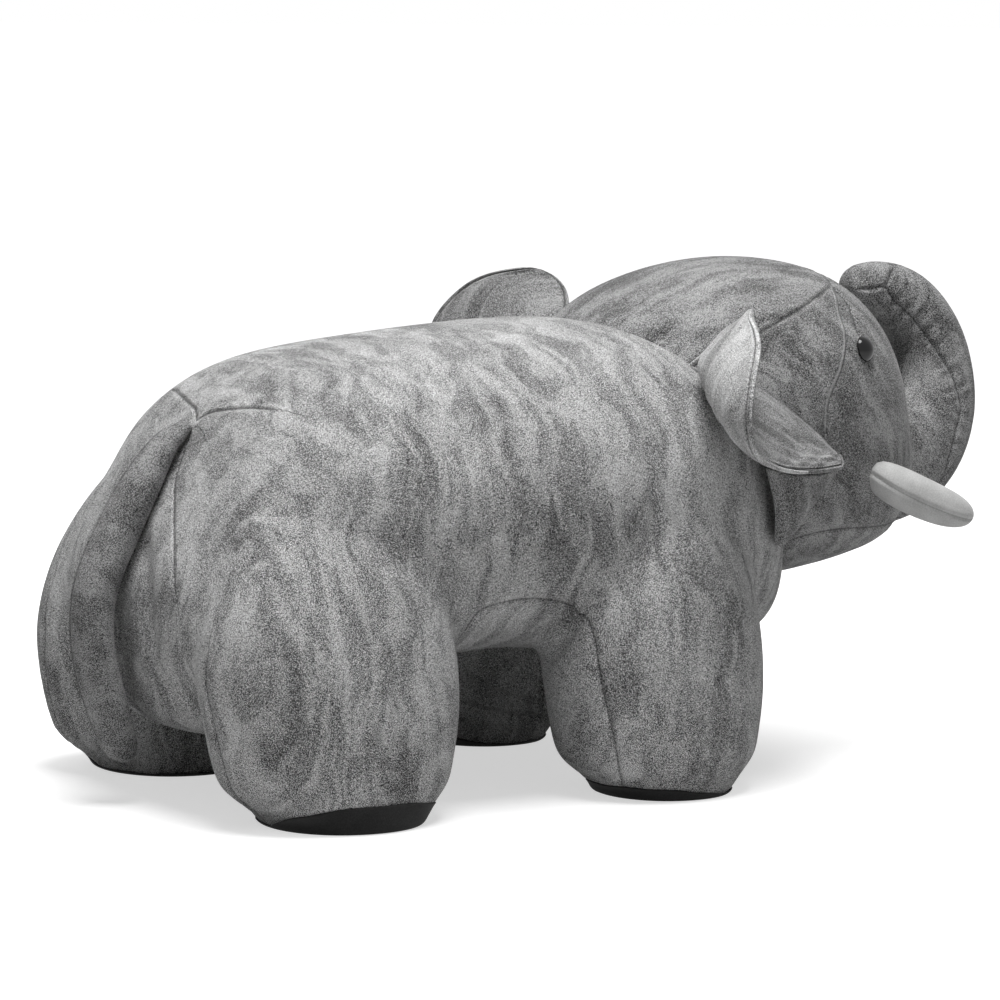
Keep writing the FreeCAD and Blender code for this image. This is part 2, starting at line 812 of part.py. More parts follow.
# Head, cut by the torso and the eyes, and the trunk, cut by the head
stuffed_head = head_form.cut([torso_clear] + [eye.Shape for eye in eyes])
parts.append(add_shape("head", largest_solid(stuffed_head)))
parts.append(add_shape("trunk", largest_solid(trunk().cut(head_clear))))

# Tusks, ears and their under folds, on the outside of the head and the neck
for side in SIDES:
    parts.append(add_shape("tusk_" + side, largest_solid(tusk(side, head_form).cut(head_clear))))
    forms = [torso_form, head_form]
    base = ear_base(side, forms)
    parts.append(add_shape("ear_" + side, ear(side, base, forms)))
    fold = ear_fold(side, base, forms).cut([torso_clear, head_clear])
    parts.append(add_shape("ear_fold_" + side, largest_solid(fold)))

# Tail, hanging from its root on the rump
parts.append(add_shape("tail", tail(torso_form)))

document.recompute()

# Every object is checked before anything is written
for item in document.Objects:
    if "Invalid" in item.State or "Error" in item.State:
        raise RuntimeError("%s failed: %s" % (item.Label, item.State))
for part in parts:
    shape = part.Shape
    if shape.isNull() or not shape.isValid():
        raise RuntimeError("%s has no valid shape" % part.Label)
    if any(solid.Volume <= 0 for solid in shape.Solids) or not shape.Solids:
        raise RuntimeError("%s has no solid" % part.Label)

os.makedirs("parts", exist_ok=True)
for part in parts:
    part.Shape.exportStep(os.path.join("parts", part.Label + ".step"))
    print("%-24s %d solid(s) %8.0f mm3" % (part.Label, len(part.Shape.Solids), part.Shape.Volume))
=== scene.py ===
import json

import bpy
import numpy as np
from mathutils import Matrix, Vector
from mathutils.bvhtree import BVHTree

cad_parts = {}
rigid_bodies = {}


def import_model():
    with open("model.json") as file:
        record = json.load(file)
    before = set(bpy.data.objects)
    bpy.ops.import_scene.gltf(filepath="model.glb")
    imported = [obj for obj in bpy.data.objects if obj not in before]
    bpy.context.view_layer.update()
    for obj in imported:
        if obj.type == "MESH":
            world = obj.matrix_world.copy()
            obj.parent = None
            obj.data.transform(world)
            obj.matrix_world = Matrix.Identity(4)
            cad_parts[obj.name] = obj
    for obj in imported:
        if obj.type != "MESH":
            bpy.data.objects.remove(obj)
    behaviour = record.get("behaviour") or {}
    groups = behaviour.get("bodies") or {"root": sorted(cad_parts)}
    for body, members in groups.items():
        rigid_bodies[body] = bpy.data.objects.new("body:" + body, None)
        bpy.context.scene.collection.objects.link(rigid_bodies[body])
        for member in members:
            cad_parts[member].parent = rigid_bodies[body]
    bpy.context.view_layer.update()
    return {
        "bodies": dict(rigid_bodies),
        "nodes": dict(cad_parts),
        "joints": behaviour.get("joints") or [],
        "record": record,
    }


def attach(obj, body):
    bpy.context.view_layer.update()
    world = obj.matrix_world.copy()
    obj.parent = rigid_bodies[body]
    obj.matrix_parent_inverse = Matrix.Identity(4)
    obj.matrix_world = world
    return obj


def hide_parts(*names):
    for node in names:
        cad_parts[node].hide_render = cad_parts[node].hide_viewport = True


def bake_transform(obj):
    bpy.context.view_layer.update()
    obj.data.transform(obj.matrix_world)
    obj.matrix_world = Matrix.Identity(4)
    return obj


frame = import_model()

# %% [markdown]
# # A stuffed elephant stool
#
# A footstool big enough to sit on, sewn like a soft toy from marbled grey microsuede:
# a fat body on four fat legs, a head whose trunk curls up tightly to the forehead, two
# cupped ears, two pale tusks and a hanging tail. Each soft form is worked out with numpy
# in millimetres, in the CAD frame, and then dressed in cloth.

MM = 0.001
FEET_X = -126.6          # the middle of the four feet, in mm behind the model's middle
SIDES = {"right": -1, "left": 1}

# %% [markdown]
# ## The camera
#
# The camera stands four metres away, behind and to the right, a little above the back,
# with a long lens, so that near and far legs differ little in size. Its place and its
# axes were fitted once to the soles, the back and the head together. A matrix holds the
# three axes: right, up, and back towards the eye.

# %% Camera
def add_camera(place, right, up, back, lens):
    data = bpy.data.cameras.new("camera")
    data.sensor_width, data.lens, data.clip_end = 36.0, lens, 60.0
    camera = bpy.data.objects.new("camera", data)
    bpy.context.collection.objects.link(camera)
    axes = Matrix((right, up, back)).transposed().to_4x4()
    camera.matrix_world = Matrix.Translation(place) @ axes
    bpy.context.scene.camera = camera
    return camera


eye_place = Vector((-2.02922 + FEET_X * MM, -3.38095, 0.71637))
camera = add_camera(
    eye_place,
    (0.84932261, -0.52758969, 0.01732665),
    (0.04862758, 0.11088104, 0.99264332),
    (-0.52562958, -0.84223186, 0.11982918),
    lens=167.04,
)
print("camera at", [round(v, 3) for v in camera.matrix_world.translation])

# %% [markdown]
# ## Colours and nodes
#
# Hex colours are written as a screen shows them, and one function turns them into the
# linear values that the shaders use. A second small function adds any node, sets its
# values and joins its sockets, so a material reads as a list of steps.

# %% Colour and node helpers
def linear(code):
    """sRGB hex to linear: c/12.92 below 0.04045, else ((c + 0.055)/1.055)^2.4."""
    c = np.array([int(code[i:i + 2], 16) for i in (1, 3, 5)]) / 255
    c = np.where(c <= 0.04045, c / 12.92, ((c + 0.055) / 1.055) ** 2.4)
    return (*c.tolist(), 1.0)


def add(material, kind, inputs=(), stops=(), **settings):
    """Add one node with its settings, its inputs and, for a colour ramp, its stops.

    An input that is a socket is joined to it, one that is a node is joined to that
    node's first output, and anything else is set as a value.
    """
    node = material.node_tree.nodes.new("ShaderNode" + kind)
    for key, value in settings.items():
        setattr(node, key, value)
    for key, value in dict(inputs).items():
        source = value.outputs[0] if isinstance(value, bpy.types.Node) else value
        if isinstance(source, bpy.types.NodeSocket):
            material.node_tree.links.new(source, node.inputs[key])
        else:
            node.inputs[key].default_value = source
    for index, (position, colour) in enumerate(stops):
        inner = 0 < index < len(stops) - 1
        ends = node.color_ramp.elements
        stop = ends.new(position) if inner else ends[0 if index == 0 else -1]
        stop.position, stop.color = position, colour
    return node


def new_material(name):
    material = bpy.data.materials.new(name)
    material.use_nodes = True
    material.node_tree.nodes.clear()
    return material


def finish_material(material, shader):
    add(material, "OutputMaterial", {"Surface": shader}).is_active_output = True
    return material


# %% [markdown]
# ## Light and floor
#
# The stool stands in a pale studio: one wide round lamp hangs nearly overhead, a little
# to the near side, and grey light comes from all round. The floor is matt and glows to
# the camera, so that it is white away from the stool, and under it only the soft contact
# shadow stays. To the camera and to reflections the world is plain white, while it
# lights the cloth only at a grey level.

# %% Studio
SMOOTH = {"interpolation_type": "SMOOTHSTEP"}
WHITE = (1, 1, 1, 1)


def seen_directly(material):
    """1 for rays from the camera, a mirror or glass, and 0 for rays that carry light."""
    path = add(material, "LightPath").outputs
    either = add(material, "Math", {0: path["Is Camera Ray"], 1: path["Is Glossy Ray"]},
                 operation="MAXIMUM")
    return add(material, "Math", {0: either, 1: path["Is Transmission Ray"]},
               operation="MAXIMUM")


def add_world(level):
    world = bpy.data.worlds.new("studio_world")
    bpy.context.scene.world = world
    world.use_nodes = True
    world.node_tree.nodes.clear()
    grey = add(world, "Background", {"Color": WHITE, "Strength": level})
    white = add(world, "Background", {"Color": WHITE, "Strength": 1.0})
    mix = add(world, "MixShader", {0: seen_directly(world), 1: grey, 2: white})
    add(world, "OutputWorld", {"Surface": mix})


def add_lamp(name, place, target, size, watts):
    data = bpy.data.lights.new(name, "AREA")
    data.shape, data.size, data.energy = "DISK", size, watts
    lamp = bpy.data.objects.new(name, data)
    bpy.context.collection.objects.link(lamp)
    away = Vector(place) - Vector(target)
    turned = away.to_track_quat("Z", "Y").to_matrix().to_4x4()
    lamp.matrix_world = Matrix.Translation(place) @ turned

def add_floor(half, colour, glow, reach):
    """A matt sheet that glows to the camera: little under the stool, white far from it.

    The glow grows from its first to its second level between the two reaches, in metres
    from the middle of the feet. Along the stool a metre counts as 0.7 of one.
    """
    mesh = bpy.data.meshes.new("floor")
    corners = [(-half, -half, 0), (half, -half, 0), (half, half, 0), (-half, half, 0)]
    mesh.from_pydata(corners, [], [(0, 1, 2, 3)])
    floor = bpy.data.objects.new("floor", mesh)
    bpy.context.collection.objects.link(floor)
    m = new_material("matt_studio_paper")
    matt = add(m, "BsdfDiffuse", {"Color": linear(colour)})
    footprint = add(m, "Mapping", {"Location": (0.09, 0, 0), "Scale": (0.7, 1, 1),
                                   "Vector": add(m, "TexCoord").outputs["Object"]})
    away = add(m, "VectorMath", {0: footprint}, operation="LENGTH").outputs["Value"]
    lift = add(m, "MapRange", {0: away, 1: reach[0], 2: reach[1], 3: glow[0], 4: glow[1]},
               **SMOOTH)
    seen = add(m, "Math", {0: seen_directly(m), 1: lift}, operation="MULTIPLY")
    shine = add(m, "Emission", {"Color": WHITE, "Strength": seen})
    mesh.materials.append(finish_material(m, add(m, "AddShader", {0: matt, 1: shine})))


bpy.context.scene.view_settings.view_transform = "Standard"
add_world(level=0.135)
add_lamp("key", (-0.34, -0.52, 3.3), (-0.05, 0, 0.3), size=1.7, watts=110)
add_floor(half=30.0, colour="#CCCCCC", glow=(0.58, 1.0), reach=(0.20, 0.36))
print("studio: world, lamp, floor")

# %% [markdown]
# ## Marbled microsuede
#
# Microsuede is a knitted polyester ground with a very short, dense, sanded nap. A cloud
# print and the brushed nap give this one its marbling: soft light and dark bands some
# 17 mm wide and 80 mm long, with hair lines and knots like those in wood, all under a
# fine speckle. It has no gloss, only a faint pale sheen at grazing angles. The bands
# follow the cut pieces, so each mesh carries an attribute called "nap": a place on the
# cloth in millimetres, whose third part runs along them. A second attribute, "seam", is
# the signed distance to the nearest seam, and draws the fine dark line where two cut
# edges meet. Head, tail and ears take copies of the same cloth in other colours: the
# copy on the head, the ears' fronts and the folds is darker, as painted shade, and so is
# the tail's, while the ears' backs take a paler copy, as painted light. Along a raised
# welt the cloth is painted paler, as a painted highlight on its ridge.

# %% Microsuede material
HAIR_GAIN, BAND_GAIN, CLOUD_GAIN = 0.38, 0.36, 1.0


def marbling(m, nap, bend, streak):
    """The print's tone about 0: bands, hair lines, clouds and rings like wood knots.

    Eddies move the print by about a quarter of bend, in mm. streak is the size of a band
    across, through and along the cloth.
    """
    drift = add(m, "TexNoise", {"Scale": 1 / 66, "Detail": 2.0, "Vector": nap})
    centred = add(m, "VectorMath", {0: drift.outputs["Color"], 1: (0.5, 0.5, 0.5)},
                  operation="SUBTRACT")
    moved = add(m, "VectorMath", {0: centred, 1: (bend, bend, bend * 0.7), 2: nap},
                operation="MULTIPLY_ADD")

    def cloud(size, detail, distortion):
        """Noise whose blobs measure the given millimetres across, through and along."""
        laid = add(m, "Mapping", {"Scale": [1 / s for s in size], "Vector": moved})
        return add(m, "TexNoise", {"Scale": 1.0, "Detail": detail, "Roughness": 0.5,
                                   "Distortion": distortion, "Vector": laid})

    # knots: rings round points scattered 80 mm apart, fading 21 mm from each
    spots = add(m, "Mapping", {"Scale": (1 / 80, 1 / 80, 1 / 120), "Vector": moved})
    knots = add(m, "TexVoronoi", {"Scale": 1.0, "Vector": spots}, feature="F1").outputs["Distance"]
    hairs = cloud((4.2, 4.2, 60), 2.0, 0.15)
    phase = add(m, "Math", {0: hairs, 1: 0.12, 2: knots}, operation="MULTIPLY_ADD")
    turned = add(m, "Math", {0: phase, 1: 88.0}, operation="MULTIPLY")
    rings = add(m, "Math", {0: turned}, operation="SINE")
    near = add(m, "MapRange", {0: knots, 1: 0.06, 2: 0.26, 3: 0.07, 4: 0.0}, **SMOOTH)
    tone = add(m, "Math", {0: rings, 1: near}, operation="MULTIPLY")
    # the printed bands have soft edges and flat middles, so the noise passes a smooth step
    bands = add(m, "MapRange", {0: cloud(streak, 1.0, 0.35), 1: 0.38, 2: 0.62}, **SMOOTH)
    patches = cloud((42, 42, 80), 1.0, 0.0)
    for part, gain in ((bands, BAND_GAIN), (hairs, HAIR_GAIN), (patches, CLOUD_GAIN)):
        shifted = add(m, "Math", {0: part, 1: gain, 2: -gain / 2}, operation="MULTIPLY_ADD")
        tone = add(m, "Math", {0: tone, 1: shifted}, operation="ADD")
    return tone


def stitched(m, half_mm, strength):
    """How dark a seam is, as its 4 mm stitches draw it in, and how high its cloth lies."""
    seam = add(m, "Attribute", attribute_name="seam").outputs["Fac"]
    off = add(m, "Math", {0: seam}, operation="ABSOLUTE")
    line = add(m, "MapRange", {0: off, 1: half_mm * 0.3, 2: half_mm * 2.0, 3: strength,
                               4: 0.0}, **SMOOTH)
    run = add(m, "Attribute", attribute_name="run").outputs["Fac"]
    turn = add(m, "Math", {0: run, 1: 2 * np.pi / 4.0}, operation="MULTIPLY")
    wave = add(m, "Math", {0: turn}, operation="SINE")
    pull = add(m, "Math", {0: wave, 1: 0.22, 2: 0.78}, operation="MULTIPLY_ADD")
    dark = add(m, "Math", {0: line, 1: pull}, operation="MULTIPLY")
    # over 8 mm beside the line: a crease, then a soft lip 3 mm away
    share = add(m, "Math", {0: off, 1: 1 / 8}, operation="MULTIPLY")
    levels = ((0.0, 0.0), (0.10, 0.12), (0.24, 0.66), (0.42, 1.0), (0.62, 0.86), (1.0, 0.72))
    lip = add(m, "ValToRGB", {0: share}, [(place, (h, h, h, 1)) for place, h in levels])
    return dark, lip


def microsuede(name, dark, middle, pale, bend, streak):
    m = new_material(name)
    nap = add(m, "Attribute", attribute_name="nap").outputs["Vector"]
    # the nap's own speckle is 0.3 mm, and is drawn 0.6 mm wide so that it shows
    place = add(m, "TexCoord").outputs["Object"]
    speckle = add(m, "TexNoise", {"Scale": 1 / (0.6 * MM), "Detail": 0.0, "Vector": place})
    grain = add(m, "Math", {0: speckle, 1: 4.4, 2: -2.2}, operation="MULTIPLY_ADD")
    tone = add(m, "Math", {0: grain, 1: marbling(m, nap, bend, streak)}, operation="ADD")
    level = add(m, "Math", {0: tone, 1: 0.5}, operation="ADD", use_clamp=True)
    cloth = add(m, "ValToRGB", {0: level},
                ((0, linear(dark)), (0.5, linear(middle)), (1, linear(pale))))
    seam_dark, lip = stitched(m, half_mm=0.8, strength=0.72)
    colour = add(m, "Mix", {"Factor": seam_dark, "A": cloth, "B": linear("#262626")},
                 data_type="RGBA").outputs["Result"]
    # a welt is a raised seam: "welt" is 30 mm less the distance to it, and 0 elsewhere
    welt = add(m, "Attribute", attribute_name="welt").outputs["Fac"]
    ridge = add(m, "MapRange", {0: welt, 1: 27.4, 2: 29.4, 3: 0.0, 4: 1.0}, **SMOOTH)
    # along a welt's ridge the colour is painted 0.4 of the way to the pale one: a painted highlight
    # where light catches it
    welt_painted_highlight = add(m, "Math", {0: ridge, 1: 0.4}, operation="MULTIPLY")
    colour = add(m, "Mix", {"Factor": welt_painted_highlight, "A": colour, "B": linear(pale)},
                 data_type="RGBA").outputs["Result"]
    raised = add(m, "Math", {0: ridge, 1: 1.3, 2: lip}, operation="MULTIPLY_ADD")
    rough = add(m, "Bump", {"Strength": 0.5, "Distance": 0.0006, "Height": speckle})
    bump = add(m, "Bump", {"Strength": 0.9, "Distance": 0.0016, "Height": raised,
                           "Normal": rough})
    return finish_material(m, add(m, "BsdfPrincipled", {
        "Roughness": 0.92, "Specular IOR Level": 0.15, "Sheen Weight": 0.12,
        "Sheen Roughness": 0.5, "Base Color": colour, "Normal": bump}))


suede = microsuede("marbled_grey_microsuede", "#363636", "#8A8A8A", "#EAEAEA",
                   bend=60, streak=(17, 17, 80))
# a darker copy of the cloth for the head, the trunk, the ears' fronts and the folds: painted shade
head_suede_painted_shade = microsuede("marbled_microsuede_darker_as_painted_shade", "#2C2C2C", "#707070", "#C8C8C8",
                        bend=34, streak=(15, 15, 110))
# a darker copy of the cloth for the tail: painted shade
tail_suede = microsuede("shaded_marbled_microsuede", "#303030", "#747474", "#BEBEBE",
                        bend=30, streak=(22, 22, 34))
# a paler copy of the cloth for the ears' backs and rims: painted light
ear_back_suede_painted_light = microsuede("marbled_microsuede_paler_as_painted_light", "#646464", "#B4B4B4", "#F8F8F8",
                       bend=84, streak=(22, 22, 60))
print("microsuede nodes:", len(suede.node_tree.nodes))

# %% [markdown]
# ## The other finishes
#
# The tusks are smooth off-white cloth with hardly a nap. The soles are black woven
# polyester. The eye is a moulded black plastic dome with a high gloss. Inside, out of
# sight, are birch plywood, planed softwood and open foam.

# %% Tusk cloth, sole cloth, eye plastic and the inner materials
def plain_cloth(name, dark, pale, speckle_mm, roughness, sheen, bump_strength):
    """A cloth of one colour: a fine speckle and clouds 24 mm wide, half and half."""
    m = new_material(name)
    nap = add(m, "Attribute", attribute_name="nap").outputs["Vector"]
    speckle = add(m, "TexNoise", {"Scale": 1 / speckle_mm, "Detail": 2.0, "Vector": nap})
    cloud = add(m, "TexNoise", {"Scale": 1 / 24, "Detail": 2.0, "Vector": nap})
    both = add(m, "Math", {0: speckle, 1: cloud}, operation="ADD")
    half = add(m, "Math", {0: both, 1: 0.5}, operation="MULTIPLY")
    cloth = add(m, "ValToRGB", {0: half}, ((0.35, linear(dark)), (0.65, linear(pale))))
    seam_dark, lip = stitched(m, half_mm=0.45, strength=0.34)
    colour = add(m, "Mix", {"Factor": seam_dark, "A": cloth, "B": linear("#454545")},
                 data_type="RGBA").outputs["Result"]
    weave = add(m, "Bump", {"Strength": bump_strength, "Distance": 0.0005, "Height": speckle})
    bump = add(m, "Bump", {"Strength": 0.8, "Distance": 0.0012, "Height": lip, "Normal": weave})
    return finish_material(m, add(m, "BsdfPrincipled", {
        "Roughness": roughness, "Specular IOR Level": 0.25, "Sheen Weight": sheen,
        "Base Color": colour, "Normal": bump}))


def moulded_plastic(name, colour, roughness):
    """A gloss whose roughness varies by some 40% in patches of about a millimetre."""
    m = new_material(name)
    haze = add(m, "TexNoise", {"Scale": 900.0, "Detail": 2.0,
                               "Vector": add(m, "TexCoord").outputs["Object"]})
    rough = add(m, "MapRange", {0: haze, 1: 0.3, 2: 0.7, 3: roughness * 0.7,
                                4: roughness * 1.5})
    return finish_material(m, add(m, "BsdfPrincipled", {
        "Base Color": linear(colour), "IOR": 1.5, "Specular IOR Level": 0.32,
        "Roughness": rough}))


def inner_stock(name, dark, pale, scale, roughness):
    """Wood or foam whose grain has cells of 1/scale metres along each axis."""
    m = new_material(name)
    stretch = add(m, "Mapping", {"Scale": scale, "Vector": add(m, "TexCoord").outputs["Object"]})
    grain = add(m, "TexNoise", {"Scale": 1.0, "Detail": 4.0, "Distortion": 0.6,
                                "Vector": stretch})
    colour = add(m, "ValToRGB", {0: grain}, ((0.35, linear(dark)), (0.65, linear(pale))))
    bump = add(m, "Bump", {"Strength": 0.2, "Distance": 0.0004, "Height": grain})
    return finish_material(m, add(m, "BsdfPrincipled", {
        "Roughness": roughness, "Base Color": colour, "Normal": bump}))


tusk_cloth = plain_cloth("off_white_tusk_cloth", "#B8B8B7", "#DADAD9", speckle_mm=1.4,
                         roughness=0.7, sheen=0.1, bump_strength=0.15)
sole_cloth = plain_cloth("black_woven_polyester", "#131313", "#2A2A2A", speckle_mm=1.2,
                         roughness=0.85, sheen=0.1, bump_strength=0.4)
eye_plastic = moulded_plastic("black_moulded_plastic", "#070708", 0.09)
plywood = inner_stock("birch_plywood", "#B9986B", "#D8BE93", (12, 90, 300), 0.6)
softwood = inner_stock("planed_softwood", "#B98F5C", "#DDBB88", (160, 160, 9), 0.6)
foam = inner_stock("open_cell_foam", "#C9C4A8", "#DEDAC4", (700, 700, 700), 0.95)
print("materials:", len(bpy.data.materials))

# %% [markdown]
# ## Shapes as arrays
#
# Every form starts from a short table of stations, like the ribs of a boat. A smooth
# curve through the rows gives as many in-between stations as the mesh needs, and each
# station draws an oval. All the points come out as one array.

# %% Station curves and ovals
def smooth_rows(table, count):
    """count rows on the Catmull-Rom curve through the table's rows.

    Between rows b and c, with a before and d after, at share s:
    b + s((c - a)/2 + s(a - 5b/2 + 2c - d/2 + s(3(b - c)/2 + (d - a)/2))).
    """
    rows = np.asarray(table, float)
    ends = np.vstack([rows[:1], rows, rows[-1:]])
    t = np.linspace(0, len(rows) - 1, count)
    k = np.minimum(t.astype(int), len(rows) - 2)
    s = (t - k)[:, None]
    a, b, c, d = ends[k], ends[k + 1], ends[k + 2], ends[k + 3]
    return b + s * ((c - a) / 2 + s * (a - 2.5 * b + 2 * c - d / 2 + s * (1.5 * (b - c) + (d - a) / 2)))


def oval(count, power):
    """Across and up shares of a rounded oval: sign(cos)|cos|^(2/p), sign(sin)|sin|^(2/p)."""
    turn = np.linspace(0, 2 * np.pi, count, endpoint=False)
    bend = 2 / power
    return (np.sign(np.cos(turn)) * np.abs(np.cos(turn)) ** bend,
            np.sign(np.sin(turn)) * np.abs(np.sin(turn)) ** bend)


def swept(centres, across, up, wide, high, low, count, power):
    """Points centre + across·wide·a + up·(high or low)·b for each station's oval (a, b).

    across and up are one direction for all stations, or a direction for each.
    """
    a, b = oval(count, power)
    rise = np.where(b > 0, high[:, None] * b, low[:, None] * b)
    across, up = np.reshape(across, (-1, 1, 3)), np.reshape(up, (-1, 1, 3))
    return centres[:, None, :] + across * (wide[:, None] * a)[..., None] + up * rise[..., None]


def closed_tube(points):
    """Vertices and faces of a tube with a pole at each end; rows run along the tube."""
    rows, columns, _ = points.shape
    vertices = np.vstack([points.reshape(-1, 3), points[0].mean(0), points[-1].mean(0)])
    i, j = np.meshgrid(np.arange(rows - 1) * columns, np.arange(columns), indexing="ij")
    k = (j + 1) % columns
    quads = np.stack([i + j, i + k, i + columns + k, i + columns + j], -1).reshape(-1, 4)
    ring = np.arange(columns)
    after = (ring + 1) % columns
    first, last, start = rows * columns, rows * columns + 1, (rows - 1) * columns
    caps = [(first, b, a) for a, b in zip(ring, after)]
    caps += [(last, start + a, start + b) for a, b in zip(ring, after)]
    return vertices, [tuple(f) for f in quads.tolist()] + caps


def mesh_object(name, vertices_mm, faces, outward=True):
    """An object at the origin from millimetre points, smooth shaded, faces outwards."""
    mesh = bpy.data.meshes.new(name)
    mesh.from_pydata((np.asarray(vertices_mm) * MM).tolist(), [], faces)
    mesh.update()
    thing = bpy.data.objects.new(name, mesh)
    bpy.context.collection.objects.link(thing)
    if outward and signed_volume(mesh) < 0:
        mesh.flip_normals()
    mesh.shade_smooth()
    return thing


def read(items, key, width=3, kind=float):
    """One value array of a mesh's vertices, edges or triangles: a row for each of them."""
    flat = np.empty(len(items) * width, kind)
    items.foreach_get(key, flat)
    return flat.reshape(-1, width)


def read_points(mesh):
    return read(mesh.vertices, "co") / MM


def write_points(mesh, points_mm):
    mesh.vertices.foreach_set("co", (points_mm * MM).ravel())
    mesh.update()


def signed_volume(mesh):
    """Sum of a·(b × c)/6 over the triangles: negative when the faces look inwards."""
    mesh.calc_loop_triangles()
    p = read_points(mesh)[read(mesh.loop_triangles, "vertices", 3, int)]
    return np.einsum("ij,ij->i", p[:, 0], np.cross(p[:, 1], p[:, 2])).sum() / 6


# %% [markdown]
# ## One skin from several forms
#
# On the real stool one cut piece of cloth covers the flank and the outsides of both legs,
# so there is no step where a leg begins. The ribbed forms are therefore melted together:
# Blender's voxel remesh turns the overlapping shells into one even skin, and then only
# the hollow creases between the forms are relaxed, like heated wax, until they are as
# soft as stuffed cloth. How far each crease relaxes is told by a weight. This coarse skin
# keeps the later cloth simulation quick, and after that each of its faces becomes four.

# %% Melting and relaxing
def melted(name, shells, voxel_mm):
    """One even skin round several overlapping closed shells."""
    vertices, faces, start = [], [], 0
    for shell_vertices, shell_faces in shells:
        vertices.append(shell_vertices)
        faces += [tuple(i + start for i in face) for face in shell_faces]
        start += len(shell_vertices)
    thing = mesh_object(name, np.vstack(vertices), faces, outward=False)
    remesh = thing.modifiers.new("melt", "REMESH")
    remesh.mode, remesh.voxel_size, remesh.use_smooth_shade = "VOXEL", voxel_mm * MM, True
    apply_modifiers(thing)
    return thing


def made_mesh(thing):
    """A new mesh, as the piece's modifiers make it."""
    graph = bpy.context.evaluated_depsgraph_get()
    return bpy.data.meshes.new_from_object(thing.evaluated_get(graph))


def apply_modifiers(thing):
    """The piece keeps the mesh that its modifiers make, and loses the modifiers."""
    made = made_mesh(thing)
    thing.modifiers.clear()
    old, thing.data = thing.data, made
    bpy.data.meshes.remove(old)
    made.name = thing.name


def subdivided(thing):
    """Each face becomes four, and the corners are rounded off (Catmull-Clark)."""
    modifier = thing.modifiers.new("finer", "SUBSURF")
    modifier.levels = modifier.render_levels = 1
    apply_modifiers(thing)


def neighbour_mean(edges, values):
    """The mean of each vertex's neighbours, by columns."""
    a, b = edges.T
    count = len(values)
    degree = np.maximum(np.bincount(edges.ravel(), minlength=count), 1)
    columns = [np.bincount(a, values[b, i], count) + np.bincount(b, values[a, i], count)
               for i in range(values.shape[1])]
    return np.stack(columns, 1) / degree[:, None]


def relax(mesh, weight, rounds, spread, threshold):
    """Move hollow places towards their neighbours' mean; weight says how far each may go.

    Hollowness is (mean of neighbours - point)·normal. Where it passes the threshold it
    marks a crease, the marks spread over `spread` rings and fade by 1.5% a ring, and the
    marked skin diffuses: each round takes it up to half of the way to the mean.
    """
    edges, points = read(mesh.edges, "vertices", 2, int), read_points(mesh)
    for _ in range(3):
        points += 0.5 * (neighbour_mean(edges, points) - points)
    write_points(mesh, points)
    normals = read(mesh.vertices, "normal")
    hollow = np.einsum("ij,ij->i", neighbour_mean(edges, points) - points, normals)
    mark = np.clip((hollow - threshold) / threshold, 0, 1)[:, None]
    for _ in range(spread):
        mark = np.maximum(mark * 0.985, neighbour_mean(edges, mark))
    mark = np.clip(mark * 1.6, 0, 1) * np.asarray(weight(points))[:, None]
    for _ in range(rounds):
        points += 0.5 * mark * (neighbour_mean(edges, points) - points)
    write_points(mesh, points)


def step(values, low, high):
    """0 below low, 1 above high, and 3t² - 2t³ between."""
    t = np.clip((values - low) / (high - low), 0, 1)
    return t * t * (3 - 2 * t)


# %% [markdown]
# ## The body and the legs
#
# The body is a long stuffed barrel, fullest over the shoulders. Each leg is a fat
# cushion that narrows to its round foot and leans in and up into the barrel.

# %% Body and leg forms
ACROSS, UP = (0.0, 1, 0), (0.0, 0, 1)
TORSO = [  # place ahead of the middle of the feet, half width, top and bottom, in mm
    (-286, 44, 170, 142), (-284, 86, 194, 126), (-277, 124, 214, 115), (-257, 149, 252, 107),
    (-228, 164, 301, 104), (-195, 175, 342, 105), (-131, 188, 369, 108), (-2, 192, 383, 114),
    (108, 190, 391, 114), (177, 184, 386, 110), (233, 169, 366, 105), (279, 140, 326, 103),
    (311, 102, 276, 112), (326, 61, 235, 135), (330, 31, 215, 150),
]


def torso_grid(rows=150, columns=190):
    """Ovals across Y; the widest level is 0.46 of the way up each station."""
    x, wide, top, bottom = smooth_rows(TORSO, rows).T
    level = bottom + (top - bottom) * 0.46
    centres = np.stack([x + FEET_X, 0 * x, level], 1)
    return swept(centres, ACROSS, UP, wide, top - level, level - bottom, columns, 2.47)


LEG = [  # height as a share of LEG_TOP, half length, half width, lean back and in
    (0.0, 0.76, 0.76, 0.00, 0.00), (0.03, 0.80, 0.84, 0.00, 0.00), (0.06, 0.84, 0.90, 0.01, 0.00),
    (0.15, 0.92, 0.97, 0.03, 0.00), (0.28, 0.99, 1.00, 0.04, 0.00), (0.42, 1.02, 1.01, 0.05, 0.02),
    (0.56, 0.98, 0.97, 0.05, 0.05), (0.70, 0.88, 0.87, 0.04, 0.09), (0.86, 0.70, 0.68, 0.02, 0.17),
    (1.0, 0.44, 0.42, 0.00, 0.26),
]
# place, length, width and the foot's radius, in mm
LEG_SIZES = {"hind": (-160.0, 224.0, 152.0, 68.0), "fore": (155.0, 200.0, 150.0, 59.0)}
LEG_TOP = 290.0
LEG_TRACK = 148.0        # from the middle of the stool to the middle of a foot, in mm
LEG_POWER = 2.1
LEGS = [(end, side) for end in LEG_SIZES for side in SIDES]


